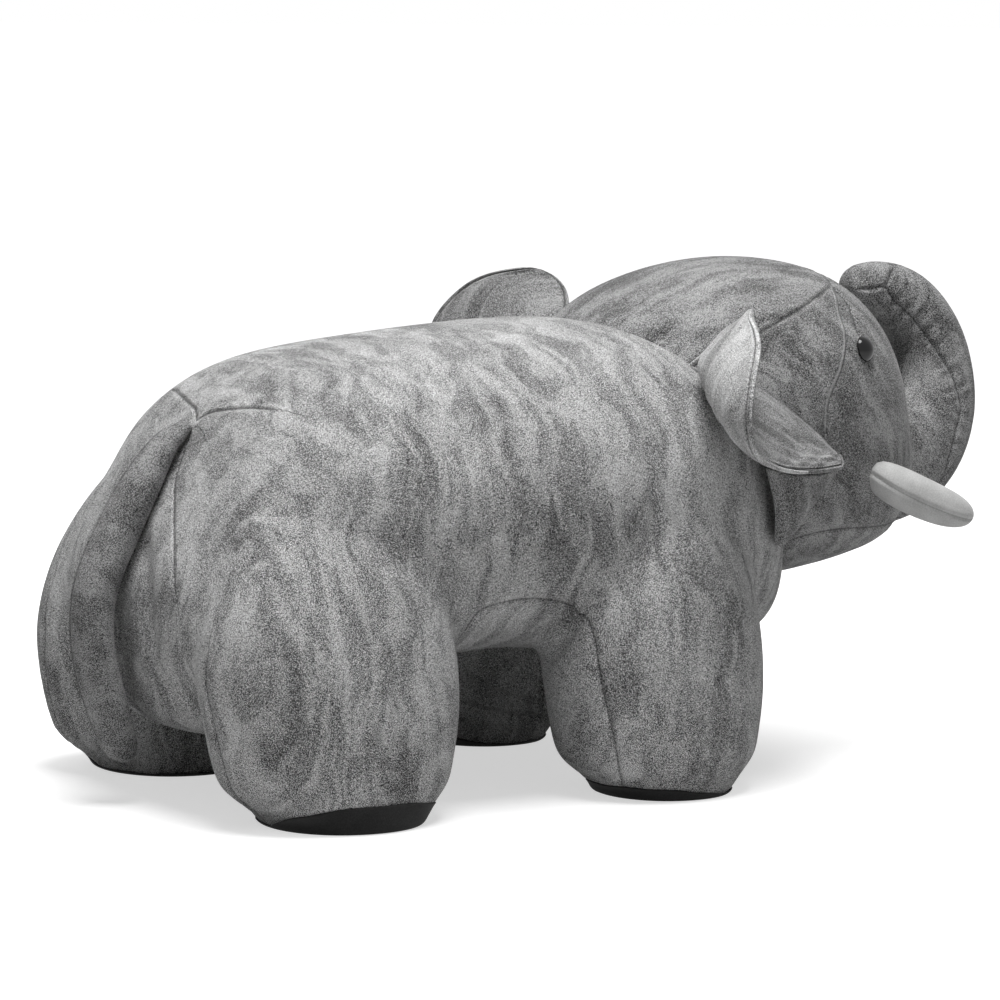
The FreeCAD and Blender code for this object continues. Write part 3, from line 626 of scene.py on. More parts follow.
def leg_outline(end, side, height):
    """Middle x and y and the two half sizes of a leg's oval at each height in mm."""
    place, length, width, foot = LEG_SIZES[end]
    table = smooth_rows(LEG, 200)
    share = np.clip(height / LEG_TOP, 0, 1)
    long_share, wide_share, back, inward = (np.interp(share, table[:, 0], c) for c in table.T[1:])
    near_foot = 1 - step(share, 0.0, 0.12)
    half_long = length / 2 * long_share * (1 - near_foot) + foot * (1 + 1.1 * share) * near_foot
    half_wide = width / 2 * wide_share * (1 - near_foot) + foot * (1 + 0.7 * share) * near_foot
    x, y = FEET_X + place - length * back, SIDES[side] * (LEG_TRACK - width * inward)
    return x, y, half_long, half_wide


def leg_grid(end, side, rows=60, columns=110):
    """Level ovals from the foot up; their middle leans back and in with height."""
    height = np.linspace(0, LEG_TOP, rows)
    x, y, half_long, half_wide = leg_outline(end, side, height)
    centres = np.stack([x, y, height], 1)
    return swept(centres, (1.0, 0, 0), ACROSS, half_long, half_wide, half_wide, columns,
                 LEG_POWER)


def crease_weight(points):
    """Full on the outsides, where one cloth covers flank and leg; less in between."""
    outside = step(np.abs(points[:, 1]), 120, 175)
    rump = 1 - step(points[:, 0], FEET_X - 215, FEET_X - 185)
    return 0.25 + 0.75 * np.maximum(outside, rump)


SADDLE = (128, 76, 66)   # half width, and half height above and below its middle, in mm


def saddle_grid(rows=50, columns=80):
    """The filling between the hind legs: an egg, so the rump runs down to the crotch.

    Its sizes are those of SADDLE times sin(turn)^0.6, from end to end of 140 mm.
    """
    turn = np.linspace(0.02, np.pi - 0.02, rows)
    centres = np.stack([FEET_X - 207 - 70 * np.cos(turn), 0 * turn, 0 * turn + 122], 1)
    wide, high, low = (size * np.sin(turn) ** 0.6 for size in SADDLE)
    return swept(centres, ACROSS, UP, wide, high, low, columns, 2.2)


shells = [closed_tube(torso_grid()), closed_tube(saddle_grid())]
shells += [closed_tube(leg_grid(end, side)) for end, side in LEGS]
body_cover = melted("body_cover", shells, 6.0)
relax(body_cover.data, crease_weight, rounds=100, spread=7, threshold=0.5)
print("body cover vertices:", len(body_cover.data.vertices))

# %% [markdown]
# ## The head and the trunk
#
# The head is a second barrel that slopes down to the muzzle, and the trunk grows out of
# it without a step. Its path is a spiral about a point in front of the face, and its
# thickness halves on the way, until the tip rests against the forehead.

# %% Head and trunk forms
HEAD = [  # ahead of the middle of the feet, half width, top and bottom
    (126, 70, 345, 230), (130, 86, 357, 216), (165, 109, 395, 190), (210, 129, 421, 171),
    (270, 142, 437, 160), (330, 143, 441, 158), (385, 132, 432, 164), (425, 113, 410, 171),
    (452, 90, 378, 177), (476, 61, 331, 187), (492, 34, 282, 203),
]
TRUNK = [  # degrees round the curl, path radius, half depth and half width
    (-125, 70, 58, 62), (-108, 67, 60, 60), (-80, 67, 60, 58.5), (-50, 63, 55, 54), (-20, 62, 47, 47),
    (10, 63, 40, 41), (40, 70, 35, 35), (70, 81, 30, 30), (92, 86, 26, 26), (104, 88, 21, 21),
    (110, 88, 13, 14),
]
CURL = (476.0 + FEET_X, 322.0)


def head_grid(rows=110, columns=170):
    """Ovals across Y, widest half-way up each station."""
    x, wide, top, bottom = smooth_rows(HEAD, rows).T
    level = (top + bottom) / 2
    centres = np.stack([x + FEET_X, 0 * x, level], 1)
    return swept(centres, ACROSS, UP, wide, top - level, level - bottom, columns, 2.3)


def trunk_grid(rows=130, columns=96):
    """Ovals that face round a spiral: centre = curl + radius·(cos, sin) of the angle."""
    angle, radius, deep, wide = smooth_rows(TRUNK, rows).T
    turn = np.radians(angle)
    outward = np.stack([np.cos(turn), 0 * turn, np.sin(turn)], 1)
    centres = np.array([CURL[0], 0, CURL[1]]) + outward * radius[:, None]
    return swept(centres, ACROSS, outward, wide, deep, deep, columns, 2.3)


def face_weight(points):
    """The trunk melts into the face up to 322 mm, but its tip only rests on the forehead."""
    return 1 - step(points[:, 2], 322, 352)


head_cover = melted("head_cover", [closed_tube(head_grid()), closed_tube(trunk_grid())], 5.0)
relax(head_cover.data, face_weight, rounds=90, spread=8, threshold=0.44)
print("head cover vertices:", len(head_cover.data.vertices))

# %% [markdown]
# ## Cloth directions and seams
#
# The nap attribute tells the print which way the cloth was laid. On the body the streaks
# hang down, on the head they slope forwards and down, and on the trunk they follow the
# curl. A seam is a smooth line through a few guide points, dropped on to the skin. Each
# vertex near it learns its signed distance to the line, and the skin dips along it, with
# small gathers beside it where the thread pulls.

# %% Cloth directions
def set_attribute(mesh, name, values):
    """Store a number, or a triple of numbers, for each vertex."""
    kind, key = ("FLOAT_VECTOR", "vector") if values.ndim == 2 else ("FLOAT", "value")
    mesh.attributes.new(name, kind, "POINT").data.foreach_set(key, values.ravel())


def body_nap(points):
    """Streaks run down the flank and over the back, and fan round the rump and chest.

    Along: above 200 mm up it is 170 times the angle atan2(height - 200, |y|), and below
    it, and at both ends, the height itself. Across: x on the straights, and past them
    190 times the angle whose tangent is the way past over the distance from the middle.
    """
    x, y, z = points.T
    rise = z - 200
    back, front = FEET_X - 120, FEET_X + 150
    past = np.where(x < back, x - back, np.where(x > front, x - front, 0))
    end = step(np.abs(past), 40, 150)
    arc = np.where(rise > 0, 170 * np.arctan2(rise, np.abs(y) + 1e-6), rise)
    across = np.clip(x, back, front) + 190 * np.arctan2(past, np.hypot(y, 110))
    return np.stack([across, y * (0.3 + 0.7 * end), arc * (1 - end) + rise * end], 1)


def head_nap(points):
    """Streaks run back over the crown, slope forwards and down on the cheek, and follow
    the curl on the trunk, where along is 131 + 80 times the angle round the curl and
    across is 375 + the radius. The crown's cloth ends at the seam z = 384 + 0.32(x - 141).
    """
    x, y, z = points.T
    ahead, above = x - CURL[0], z - CURL[1]
    crown = (z > 384.3 + 0.321 * (x - 141)) & (x < 252)
    slope = np.radians(np.where(crown, 12.0, -52.0))
    plain = np.stack([z * np.cos(slope) - x * np.sin(slope), y,
                      x * np.cos(slope) + z * np.sin(slope)], 1)
    curled = np.stack([375 + np.hypot(ahead, above), y, 131 + 80 * np.arctan2(above, ahead)], 1)
    share = step(ahead, -10, 60)[:, None]
    return plain * (1 - share) + curled * share


# %% Seams
NO_SEAM = 99.0           # the distance that is stored far from every seam, in mm


def seam_curve(tree, guides, spacing=3.0):
    """A smooth line through the guide points, dropped on to the nearest skin."""
    length = np.linalg.norm(np.diff(guides, axis=0), axis=1).sum()
    line = smooth_rows(guides, max(int(length / spacing), 4))
    found = [tree.find_nearest(Vector(p * MM)) for p in line]
    return np.array([hit[0] for hit in found]) / MM


def seam_field(points, normals, line):
    """Signed distance to a line and the length run along it, for every point.

    For the segment from p to q, the nearest share is t = clip((x - p)·(q - p)/|q - p|²),
    the distance is |x - p - t(q - p)|, and its sign is that of ((q - p) × normal)·(x - p).
    """
    best = np.full(len(points), 1e9)
    signed, run = np.full(len(points), NO_SEAM), np.zeros(len(points))
    lengths = np.linalg.norm(np.diff(line, axis=0), axis=1)
    starts = np.concatenate([[0], np.cumsum(lengths)])
    close = np.nonzero(np.all((points > line.min(0) - 45) & (points < line.max(0) + 45), axis=1))[0]
    x, n = points[close], normals[close]
    for k in range(len(line) - 1):
        p, way = line[k], line[k + 1] - line[k]
        t = np.clip((x - p) @ way / max(lengths[k] ** 2, 1e-9), 0, 1)
        gap = x - p - t[:, None] * way
        distance = np.linalg.norm(gap, axis=1)
        better = distance < best[close]
        side = np.sign(np.einsum("ij,ij->i", np.cross(way, n), gap))
        index = close[better]
        best[index] = distance[better]
        signed[index] = (distance * np.where(side == 0, 1, side))[better]
        run[index] = starts[k] + (t * lengths[k])[better]
    return signed, run


def seam(guides, depth=1.4, width=3.5, gather=0.25, lip=0.0, thread=True, welt=False):
    """A seam, or a fold without thread: guide points in mm and how it shapes the skin."""
    return {"guides": np.asarray(guides, float), "depth": depth, "width": width,
            "gather": gather, "lip": lip, "thread": thread, "welt": welt}


def on_side(side, points):
    """Places given for the right side, turned over to the left where that is asked."""
    return np.asarray(points, float) * (1, -SIDES[side], 1)


def mirrored(seams):
    """The same seams on the left, run the other way so that each lip stays on its side."""
    return seams + [{**s, "guides": on_side("left", s["guides"][::-1])} for s in seams]


# %% [markdown]
# ## Stuffing
#
# Stuffing presses a sewn cover outwards, and the cover gives way only between its seams.
# That is done once with Blender's cloth simulation: pressure inside, no weight, and every
# vertex on a seam or near the floor held. Twenty frames are enough, and what they move is
# then capped, so that the stool keeps its measures. A drawn bulge would have to guess
# where cloth swells most.

# %% Pressure and sewing
REACH = 60               # how far from its line a seam shapes the skin, in mm
GATHERS = (14, 8.5)      # the lengths of the two waves of a gather, in mm


def puffed(thing, held, cap_mm=5.0, frames=20):
    """One cloth simulation: stuffing presses from inside, and the held vertices stay.

    A vertex that moved by d is moved by cap·tanh(d/cap), and then all go back by the
    mean way out, so the cover keeps its size and only the cloth between seams swells.
    """
    mesh, scene = thing.data, bpy.context.scene
    start, normals = read_points(mesh), read(mesh.vertices, "normal")
    thing.vertex_groups.new(name="held").add(held.tolist(), 1.0, "REPLACE")
    cloth = thing.modifiers.new("pressure", "CLOTH")
    settings = cloth.settings
    settings.quality, settings.vertex_group_mass = 4, "held"
    settings.use_pressure, settings.uniform_pressure_force = True, 4.0
    settings.effector_weights.gravity = 0.0
    cloth.point_cache.frame_start, cloth.point_cache.frame_end = 1, frames
    for frame in range(1, frames + 1):
        scene.frame_set(frame)
    blown = made_mesh(thing)
    way = read_points(blown) - start
    bpy.data.meshes.remove(blown)
    thing.modifiers.clear()
    thing.vertex_groups.clear()
    scene.frame_set(1)
    size = np.linalg.norm(way, axis=1, keepdims=True)
    way *= cap_mm * np.tanh(size / cap_mm) / np.maximum(size, 1e-6)
    out = np.einsum("ij,ij->i", way, normals)
    write_points(mesh, start + way - normals * out.mean())
    print("%s swelled by %.1f mm at most, %.1f on average" % (thing.name, out.max(), out.mean()))


def sew(thing, seams, nap):
    """Stuff the skin, make it finer, dip and gather it at the seams, store the attributes.

    The dip is -depth·exp(-(d/width)²), a lip is lip·exp(-((d - 4)/3)²) on one side, and
    the gathers are gather·sin(2π run/pitch) times (|d|/5)·exp(1 - |d|/5), which is
    nothing on the line and most 5 mm beside it. Over a seam's last 8 mm the dip fades to
    0.3 of its depth and the lip to nothing.
    """
    points, normals = read_points(thing.data), read(thing.data.vertices, "normal")
    faces = [tuple(p.vertices) for p in thing.data.polygons]
    tree = BVHTree.FromPolygons((points * MM).tolist(), faces)
    lines = [seam_curve(tree, s["guides"]) for s in seams]
    closest = np.min([np.abs(seam_field(points, normals, line)[0]) for line in lines], axis=0)
    puffed(thing, np.nonzero((closest < 4) | (points[:, 2] < 12))[0])
    subdivided(thing)
    mesh = thing.data
    points, normals = read_points(mesh), read(mesh.vertices, "normal")
    nearest = np.full(len(points), NO_SEAM)
    along, welt, rise = np.zeros((3, len(points)))
    rng = np.random.default_rng(7)
    for s, line in zip(seams, lines):
        signed, run = seam_field(points, normals, line)
        d = np.abs(signed)
        far = d > REACH
        last = run[~far].max() if (~far).any() else 1.0
        ends = step(run, 0, 8) * (1 - step(run, last - 8, last))
        dip = -s["depth"] * np.exp(-(d / s["width"]) ** 2) * (0.3 + 0.7 * ends)
        lip = s["lip"] * np.exp(-((signed - 4) / 3) ** 2) * ends
        phase = rng.uniform(0, 6.28)
        wave = np.sin(2 * np.pi * run / GATHERS[0] + phase + 1.2 * np.sin(run / 21))
        wave += 0.5 * np.sin(2 * np.pi * run / GATHERS[1] + 2 * phase)
        gathers = s["gather"] * wave * (d / 5) * np.exp(1 - d / 5)
        rise += np.where(far, 0, dip + lip + gathers)
        if s["welt"]:
            welt = np.maximum(welt, 30 - np.minimum(d, 30))
        elif s["thread"]:
            closer = d < np.abs(nearest)
            nearest, along = np.where(closer, signed, nearest), np.where(closer, run, along)
    for name, values in (("nap", nap(points)), ("seam", nearest), ("run", along), ("welt", welt)):
        set_attribute(mesh, name, values)
    write_points(mesh, points + normals * rise[:, None])


# %% The seams of the body
BODY_SEAMS = mirrored([
    # the flank's lower edge, from the hind leg to the foreleg, over a soft bulge
    seam([(-174, -159.7, 150), (-170.5, -171.9, 167.1), (-153.8, -175.9, 173.3),
          (-125.3, -177, 175.8), (-93.2, -172.8, 170.8), (-70.7, -169, 161.4), (-66.8, -170.7, 159.7)],
         2.0, 4.0, 0.4),
    # the back edges of the cloth on the outside of each leg
    seam([(-66.8, -170.7, 159.7), (-62.3, -174.6, 151.5), (-60.9, -180.6, 138.8),
          (-59.6, -185.5, 116.6), (-56.1, -188.7, 93.2), (-49.2, -191.5, 63.6),
          (-42.7, -190, 37.4), (-38, -186, 14)], 1.4, 3.5, 0.35),
    seam([(-411.5, -145.1, 140), (-411.5, -145.1, 116.3), (-409.5, -150.1, 99), (-405.1, -152.5, 76.3),
          (-395.2, -153.4, 41.5), (-362.7, -148, 12.8)], 1.4, 3.5, 0.35),
    # the rump: a dart each side of the back, and the seams that run down beside the tail
    seam([(-345, 0, 317), (-341.5, -6, 321), (-337.8, -16, 325), (-333.6, -36, 328),
          (-329.2, -54.7, 331), (-319.1, -88, 333)], 1.1, 3.5, 0.3),
    seam([(-352, -2, 306), (-361, -8, 290), (-371.3, -18, 267.7), (-378.6, -32, 251.6),
          (-393.3, -62.6, 218.3), (-403.5, -86, 185.7)], 1.4, 4.0, 0.3),
    # soft folds without thread: behind the foreleg, under the tail, and on the haunch
    seam([(-67.3, -167.3, 147.5), (-71.7, -156, 131.8), (-71.1, -134.2, 109.2)],
         2.5, 5, 0, thread=False),
    seam([(-395, -9.7, 219.5), (-406.8, -36.4, 191.1), (-411.1, -47.1, 153.1), (-405, -51.5, 131)],
         5.0, 13, 0, thread=False),
    seam([(-405.7, -121.9, 106.7), (-406.3, -128.1, 97.2), (-405.4, -135.5, 83.2)],
         2.5, 3.5, 0, thread=False),
])
# the filling of the left foreleg has settled, and its cloth is squashed into rolls
BODY_SEAMS += [
    seam([(-24, 90, 44), (-19.2, 86.9, 38), (-5.8, 83, 32.2), (13.4, 80.1, 27.7), (35.2, 81, 23.2),
          (57.6, 86.3, 19.8)], 8.0, 5.0, 0, lip=4.0, thread=False),
    seam([(-22, 83.4, 71.1), (-14.7, 81.4, 60.1), (-4.7, 78.7, 52.6), (10.5, 76.1, 47.4),
          (31.4, 75.7, 41.5), (52.7, 79.1, 35.8)], 6.5, 4.5, 0, lip=3.0, thread=False),
]
sew(body_cover, BODY_SEAMS, body_nap)
print("body seams:", len(BODY_SEAMS))

# %% The seams of the head and the trunk
HEAD_SEAMS = mirrored([
    # from the corner of the forehead: back along the crown, down behind the eye, to the eye
    seam([(250.9, -70.8, 419.6), (214.2, -96.7, 411), (183.6, -110, 400.6), (141, -118.6, 384.3),
          (110, -117, 372)], 0.7, 3.0, 0.1),
    seam([(250.9, -70.8, 419.6), (234.3, -103.5, 400.4), (231.2, -117.3, 384.1), (226.9, -125.3, 371.8),
          (215, -135.2, 351.2), (198.1, -142, 326.4), (194.6, -143.6, 300.6)],
         0.6, 3.2, 0.2, lip=0.6, welt=True),
    seam([(250.9, -70.8, 419.6), (252.5, -80.9, 413.2), (254, -91, 405.1), (249.7, -109.6, 387.3),
          (251, -117.2, 374.8)], 1.4, 3.2, 0.15, lip=-0.8),
    seam([(249.5, -126.1, 356.3), (253.6, -130.2, 336.3), (260.3, -130.8, 314.2), (264.1, -129.8, 287.6),
          (262.3, -127.7, 261)], 0.8, 3.0, 0.2, thread=False),
    # down the outer edge of the trunk, with the short forked seam that closes its tip
    seam([(344.1, -25.1, 413.1), (352.6, -26.3, 400.3), (372.7, -27.2, 383.6), (392.8, -33.2, 359),
          (407.6, -40, 336.3), (414.8, -43.5, 318.2), (418.2, -45.8, 300), (408.9, -50.1, 278),
          (398, -51, 246.7)], 2.0, 3.5, 0.7),
    seam([(356.1, -18.8, 427.7), (350, -22, 421), (344.1, -25.1, 413.1)], 1.6, 3.0, 0.3),
    seam([(344.1, -25.1, 413.1), (338, -24, 412), (330.9, -22, 410.5), (322, -16, 410)],
         1.6, 3.0, 0.3),
    # the edge of the chin's cloth
    seam([(362, -32, 201.9), (340, -55, 201), (301.7, -82.9, 203.4), (251, -107, 207),
          (212.9, -114.9, 206.4), (182.8, -112.2, 200.7)], 1.4, 4.0, 0.2),
])
HEAD_SEAMS += [
    seam([(250.9, -70.8, 419.6), (262, -35, 424), (266, 0, 426), (262, 35, 424), (250.9, 70.8, 419.6)],
         0.7, 3.2),
]
sew(head_cover, HEAD_SEAMS, head_nap)
print("head seams:", len(HEAD_SEAMS))

# %% [markdown]
# ## The ears
#
# Each ear is a padded leaf of two cloths, turned out and top-stitched 5.5 mm inside
# its rim. It is sewn to the head along a curved root, stands out and back, and cups forward.
# The surface is a fan of arcs from root to rim; the rim has a thin rounded band, then
# the stitched groove, then the soft middle.

# %% Ears
EAR = [  # sewn root, middle of the leaf and free rim, on the right side
    ((67.3, -117.5, 359.0), (94.9, -159.1, 401.5), (67.8, -205.6, 412.5)),
    ((83.6, -123.2, 356.9), (54.3, -174.0, 369.8), (45.9, -254.7, 390.0)),
    ((105.5, -130.8, 349.7), (44.2, -187.3, 346.8), (25.0, -277.5, 356.9)),
    ((129.0, -138.6, 337.4), (47.0, -203.9, 326.6), (23.2, -277.5, 325.2)),
    ((155.2, -144.5, 319.4), (67.0, -222.2, 301.7), (40.0, -265.3, 298.4)),
    ((180.0, -145.7, 300.7), (102.1, -217.2, 284.5), (78.7, -242.1, 284.1)),
    ((198.0, -145.2, 286.3), (146.9, -198.9, 276.5), (131.7, -212.2, 274.6)),
    ((212.4, -143.9, 277.2), (193.1, -174.0, 273.6), (184.0, -182.3, 272.1)),
]


def quarter(share):
    """A quarter circle's height over its share t of the way in: sqrt(1 - (1 - t)²)."""
    return np.sqrt(np.clip(1 - (1 - np.clip(share, 0, 1)) ** 2, 0, 1))


def leaf(stations, side, along, across, thickness, root_share, corner, band_mm, groove_mm,
         all_round=True):
    """Front and back of a padded leaf as one closed grid, with its rim distance.

    A station's line is the parabola through root, middle and rim, and corner rounds the
    leaf's two ends: how much of the line is cut back, over which share of the leaf. The
    two faces stand off the sheet by half the thickness times 0.42·sqrt(1 - (1 - e/4)²)
    + 0.58·step(e, 5, 34), where e is the distance in from the outline, less a groove
    exp(-((e - band)/1.3)²) where it is stitched: all round, or along the free rim only.
    At the root, where the leaf is sewn down, only root_share of that is left.
    """
    rows = smooth_rows(np.reshape(stations, (len(stations), 9)), along)
    root, middle, rim = rows[:, 0:3], rows[:, 3:6], rows[:, 6:9]
    v = np.linspace(0, 1, along)
    reach = 1 - corner[0] * (1 - quarter(v / corner[1])) - corner[2] * (
        1 - quarter((1 - v) / corner[3]))
    s = np.linspace(0, 1, across) ** 0.9
    s = s[None, :] * reach[:, None]
    weight = [(1 - s) * (1 - 2 * s), 4 * s * (1 - s), s * (2 * s - 1)]
    sheet = sum(w[..., None] * p[:, None, :] for w, p in zip(weight, (root, middle, rim)))
    sheet = on_side(side, sheet)
    du, dv = np.gradient(sheet, axis=1), np.gradient(sheet, axis=0)
    normal = np.cross(du, dv)
    normal /= np.linalg.norm(normal, axis=2, keepdims=True) + 1e-9
    step_u, step_v = np.linalg.norm(du, axis=2), np.linalg.norm(dv, axis=2)
    from_rim = np.cumsum(step_u[:, ::-1], axis=1)[:, ::-1] - step_u[:, -1:]
    from_root = np.cumsum(step_u, axis=1) - step_u[:, :1]
    from_top = np.cumsum(step_v, axis=0) - step_v[:1]
    from_tip = np.cumsum(step_v[::-1], axis=0)[::-1] - step_v[-1:]
    edge = np.maximum(np.minimum(np.minimum(from_rim, from_top), from_tip), 0)
    swell = quarter(edge / 4.0) * 0.42 + 0.58 * step(edge, 5, 34)
    stitched_edge = edge if all_round else from_rim
    swell -= groove_mm * np.exp(-((stitched_edge - band_mm) / 1.3) ** 2)
    swell *= root_share + (1 - root_share) * step(from_root, 0, 30)
    # the padding has settled unevenly: low waves some 50 mm long in both faces
    wave = np.sin(from_top / 9 + 2) * np.sin(from_root / 8 + 1) * 1.2
    wave *= step(edge, 6, 20) * step(from_root, 4, 24)
    sheet = sheet + normal * wave[..., None]
    half = thickness / 2 * np.maximum(swell, 0)
    front, back = sheet + normal * half[..., None], sheet - normal * half[..., None]
    return {"front": front, "back": back, "edge": stitched_edge, "root": from_root,
            "top": from_top}


def leaf_object(name, shape, band_mm):
    """Joins the two faces along their shared outline into one closed skin."""
    rows, columns, _ = shape["front"].shape
    i, j = np.meshgrid(np.arange(rows - 1), np.arange(columns - 1), indexing="ij")
    k = i * columns + j
    quad = np.stack([k, k + 1, k + columns + 1, k + columns], -1).reshape(-1, 4)
    count = rows * columns
    outline = np.concatenate([
        np.arange(columns), np.arange(1, rows) * columns + columns - 1,
        (rows - 1) * columns + np.arange(columns - 2, -1, -1),
        np.arange(rows - 2, 0, -1) * columns])
    after = np.roll(outline, -1)
    rim = np.stack([outline, outline + count, after + count, after], -1)
    faces = [tuple(f) for f in np.vstack([quad, quad[:, ::-1] + count, rim[:, ::-1]]).tolist()]
    points = np.vstack([shape["front"].reshape(-1, 3), shape["back"].reshape(-1, 3)])
    thing = mesh_object(name, points, faces)
    # the print runs along the root on both faces, and is 1.7 times as long on the back one
    zero = 0 * shape["root"]
    facing = np.stack([shape["root"], zero, shape["top"]], -1).reshape(-1, 3)
    behind = np.stack([shape["root"], zero + 300, shape["top"] * 0.6], -1).reshape(-1, 3)
    set_attribute(thing.data, "nap", np.vstack([facing, behind]))
    set_attribute(thing.data, "seam", np.tile((shape["edge"] - band_mm).ravel(), 2))
    set_attribute(thing.data, "run", np.tile(shape["top"].ravel(), 2))
    return thing


EAR_ROWS, EAR_COLUMNS = 150, 120
EAR_CORNER = (0.20, 0.10, 0.03, 0.04)
EAR_BAND, FOLD_BAND = 5.5, 5.0          # from the rim in to the stitches, in mm
ears = {}
for side in SIDES:
    # the left ear stands up to 12 mm higher and 28 mm further forward than the right one,
    # by a share of that in each station
    lift = np.array([[20, 0, 0], [27, 0, 3], [28, 0, 12]]) * (side == "left")
    share = np.reshape((0.9, 1, 1, 0.9, 0.5, 0.2, 0, 0), (-1, 1, 1))
    shape = leaf(EAR + lift * share, side, EAR_ROWS, EAR_COLUMNS, thickness=13.0, root_share=0.3,
                 corner=EAR_CORNER, band_mm=EAR_BAND, groove_mm=0.24)
    ear = ears[side] = leaf_object("ear_cover_" + side, shape, EAR_BAND)
    # the front face comes first in the mesh and takes the darker copy of the cloth, painted shade, while
    # the back and the rim keep the paler copy, painted light
    painted_shade_front = np.arange(len(ear.data.polygons)) < (EAR_ROWS - 1) * (EAR_COLUMNS - 1)
    ear.data.polygons.foreach_set("material_index", painted_shade_front.astype(int))
print("ears:", [len(ear.data.vertices) for ear in ears.values()])

# %% [markdown]
# Under each ear a small second leaf runs from its lower corner to the neck. It is thinner,
# and stitched along its free edge too. It takes the darker copy of the cloth, painted
# shade, as it lies under the ear.

# %% Ear folds
FOLD = [  # edge at the neck, middle and stitched edge at the cheek, on the right side
    ((106.9, -180.7, 275.0), (159.3, -174.0, 266.4), (213.4, -143.5, 269.7)),
    ((121.2, -174.0, 242.0), (148.8, -170.4, 236.7), (184.7, -138.8, 233.7)),
    ((132.4, -160.4, 207.5), (142.0, -157.1, 202.6), (152.6, -134.8, 201.2)),
]
folds = {}
for side in SIDES:
    shape = leaf(FOLD, side, 60, 60, thickness=8.0, root_share=0.5, corner=(0.05, 0.08, 0.2, 0.2),
                 band_mm=FOLD_BAND, groove_mm=0.22, all_round=False)
    folds[side] = leaf_object("ear_fold_cover_" + side, shape, FOLD_BAND)
print("folds:", [len(fold.data.vertices) for fold in folds.values()])

# %% [markdown]
# ## Tusks, tail and eyes
#
# The tusk and the tail are stuffed tubes: a path with a round section whose size follows
# a table. Both have one seam along their length. The eye is a moulded dome, turned like
# a bowl on a lathe.

# %% Tubes along a path
def square_axes(aim):
    """A level direction across the aim, and the one that stands on both."""
    across = np.cross(aim, (0, 0, 1.0))
    across /= np.linalg.norm(across)
    return across, np.cross(across, aim)


def tube_object(name, path, half_wide, half_deep, across, columns, seam_turn, nap_shift=0.0):
    """A closed tube; the section's second axis is along × across, at right angles.

    At a distance d round it from its one seam, the skin is moved out by
    0.35·exp(-((|d| - 4)/2.2)²) - 0.55·exp(-(d/1.6)²): a small dip between two soft lips.
    """
    along = np.gradient(path, axis=0)
    along /= np.linalg.norm(along, axis=1, keepdims=True)
    across = np.asarray(across) - along * (along @ np.asarray(across))[:, None]
    across /= np.linalg.norm(across, axis=1, keepdims=True)
    up = np.cross(along, across)
    grid = swept(path, across, up, half_wide, half_deep, half_deep, columns, 2.0)
    turn = np.linspace(0, 2 * np.pi, columns, endpoint=False)
    around = (turn - seam_turn + np.pi) % (2 * np.pi) - np.pi
    signed = around[None, :] * ((half_wide + half_deep) / 2)[:, None]
    dip = -0.55 * np.exp(-(signed / 1.6) ** 2) + 0.35 * np.exp(-((np.abs(signed) - 4.0) / 2.2) ** 2)
    run = np.concatenate([[0], np.cumsum(np.linalg.norm(np.diff(path, axis=0), axis=1))])
    outward = grid - path[:, None, :]
    size = np.linalg.norm(outward, axis=2, keepdims=True)
    ends = np.minimum(step(run, 0, 12), step(run[-1] - run, 0, 12))[:, None]
    grid = grid + outward / np.maximum(size, 1e-6) * (dip * ends)[..., None]
    vertices, faces = closed_tube(grid)
    thing = mesh_object(name, vertices, faces)
    nap = np.stack(np.broadcast_arrays(run[:, None], nap_shift, signed), -1).reshape(-1, 3)
    nap = np.vstack([nap, nap[:1], nap[-1:]])
    nap[-2:, 2] = 0
    set_attribute(thing.data, "nap", nap)
    set_attribute(thing.data, "seam", np.concatenate([signed.ravel(), [9.0, 9.0]]))
    set_attribute(thing.data, "run", nap[:, 0])
    return thing


# %% Tusks
TUSK_SIZES = [  # share of the length, share of the full radius
    (0.00, 0.06), (0.03, 0.30), (0.10, 0.60), (0.22, 0.88), (0.38, 1.00), (0.58, 1.00),
    (0.76, 0.92), (0.88, 0.76), (0.95, 0.54), (0.985, 0.30), (1.0, 0.08),
]
TUSK_RADIUS = 18.0


def tusk_object(side):
    """A straight aim with a bow of 3% at both ends: 0.03·length·(2t - 1)²."""
    root, tip = on_side(side, [(250.0, -119.0, 262.0), (355.5, -144.5, 213.0)])
    length = np.linalg.norm(tip - root)
    aim = (tip - root) / length
    across, rise = square_axes(aim)
    place, size = smooth_rows(TUSK_SIZES, 90).T
    bow = length * 0.03 * (2 * place - 1) ** 2
    path = root + aim * (length * place)[:, None] + rise * bow[:, None]
    radius = TUSK_RADIUS * size
    seam_turn = np.radians(15 if side == "right" else 165)
    return tube_object("tusk_cover_" + side, path, radius, radius, across, 64, seam_turn)


tusks = {side: tusk_object(side) for side in SIDES}
print("tusks:", [len(tusk.data.vertices) for tusk in tusks.values()])

# %% Tail
TAIL = [  # x, z, half size as a share
    (-352.8, 313.7, 0.30), (-362, 306, 0.45), (-373.8, 297.1, 0.62), (-393.1, 269.4, 0.87),
    (-415.0, 230.6, 1.0), (-436.8, 180.8, 1.0), (-438.5, 131.0, 0.98), (-426.7, 86.7, 0.95),
    (-414.5, 53.4, 0.84), (-409, 41.5, 0.62), (-407, 36.2, 0.30), (-406.6, 34.8, 0.06),
]
TAIL_WIDE, TAIL_DEEP = 21, 18            # its half sizes where it is fullest, in mm
x, z, size = smooth_rows(TAIL, 150).T
tail_path = np.stack([x, 0 * x, z], 1)
tail_cover = tube_object("tail_cover", tail_path, TAIL_WIDE * size, TAIL_DEEP * size, ACROSS, 80,
                         seam_turn=np.radians(-78), nap_shift=500.0)
print("tail:", len(tail_cover.data.vertices))

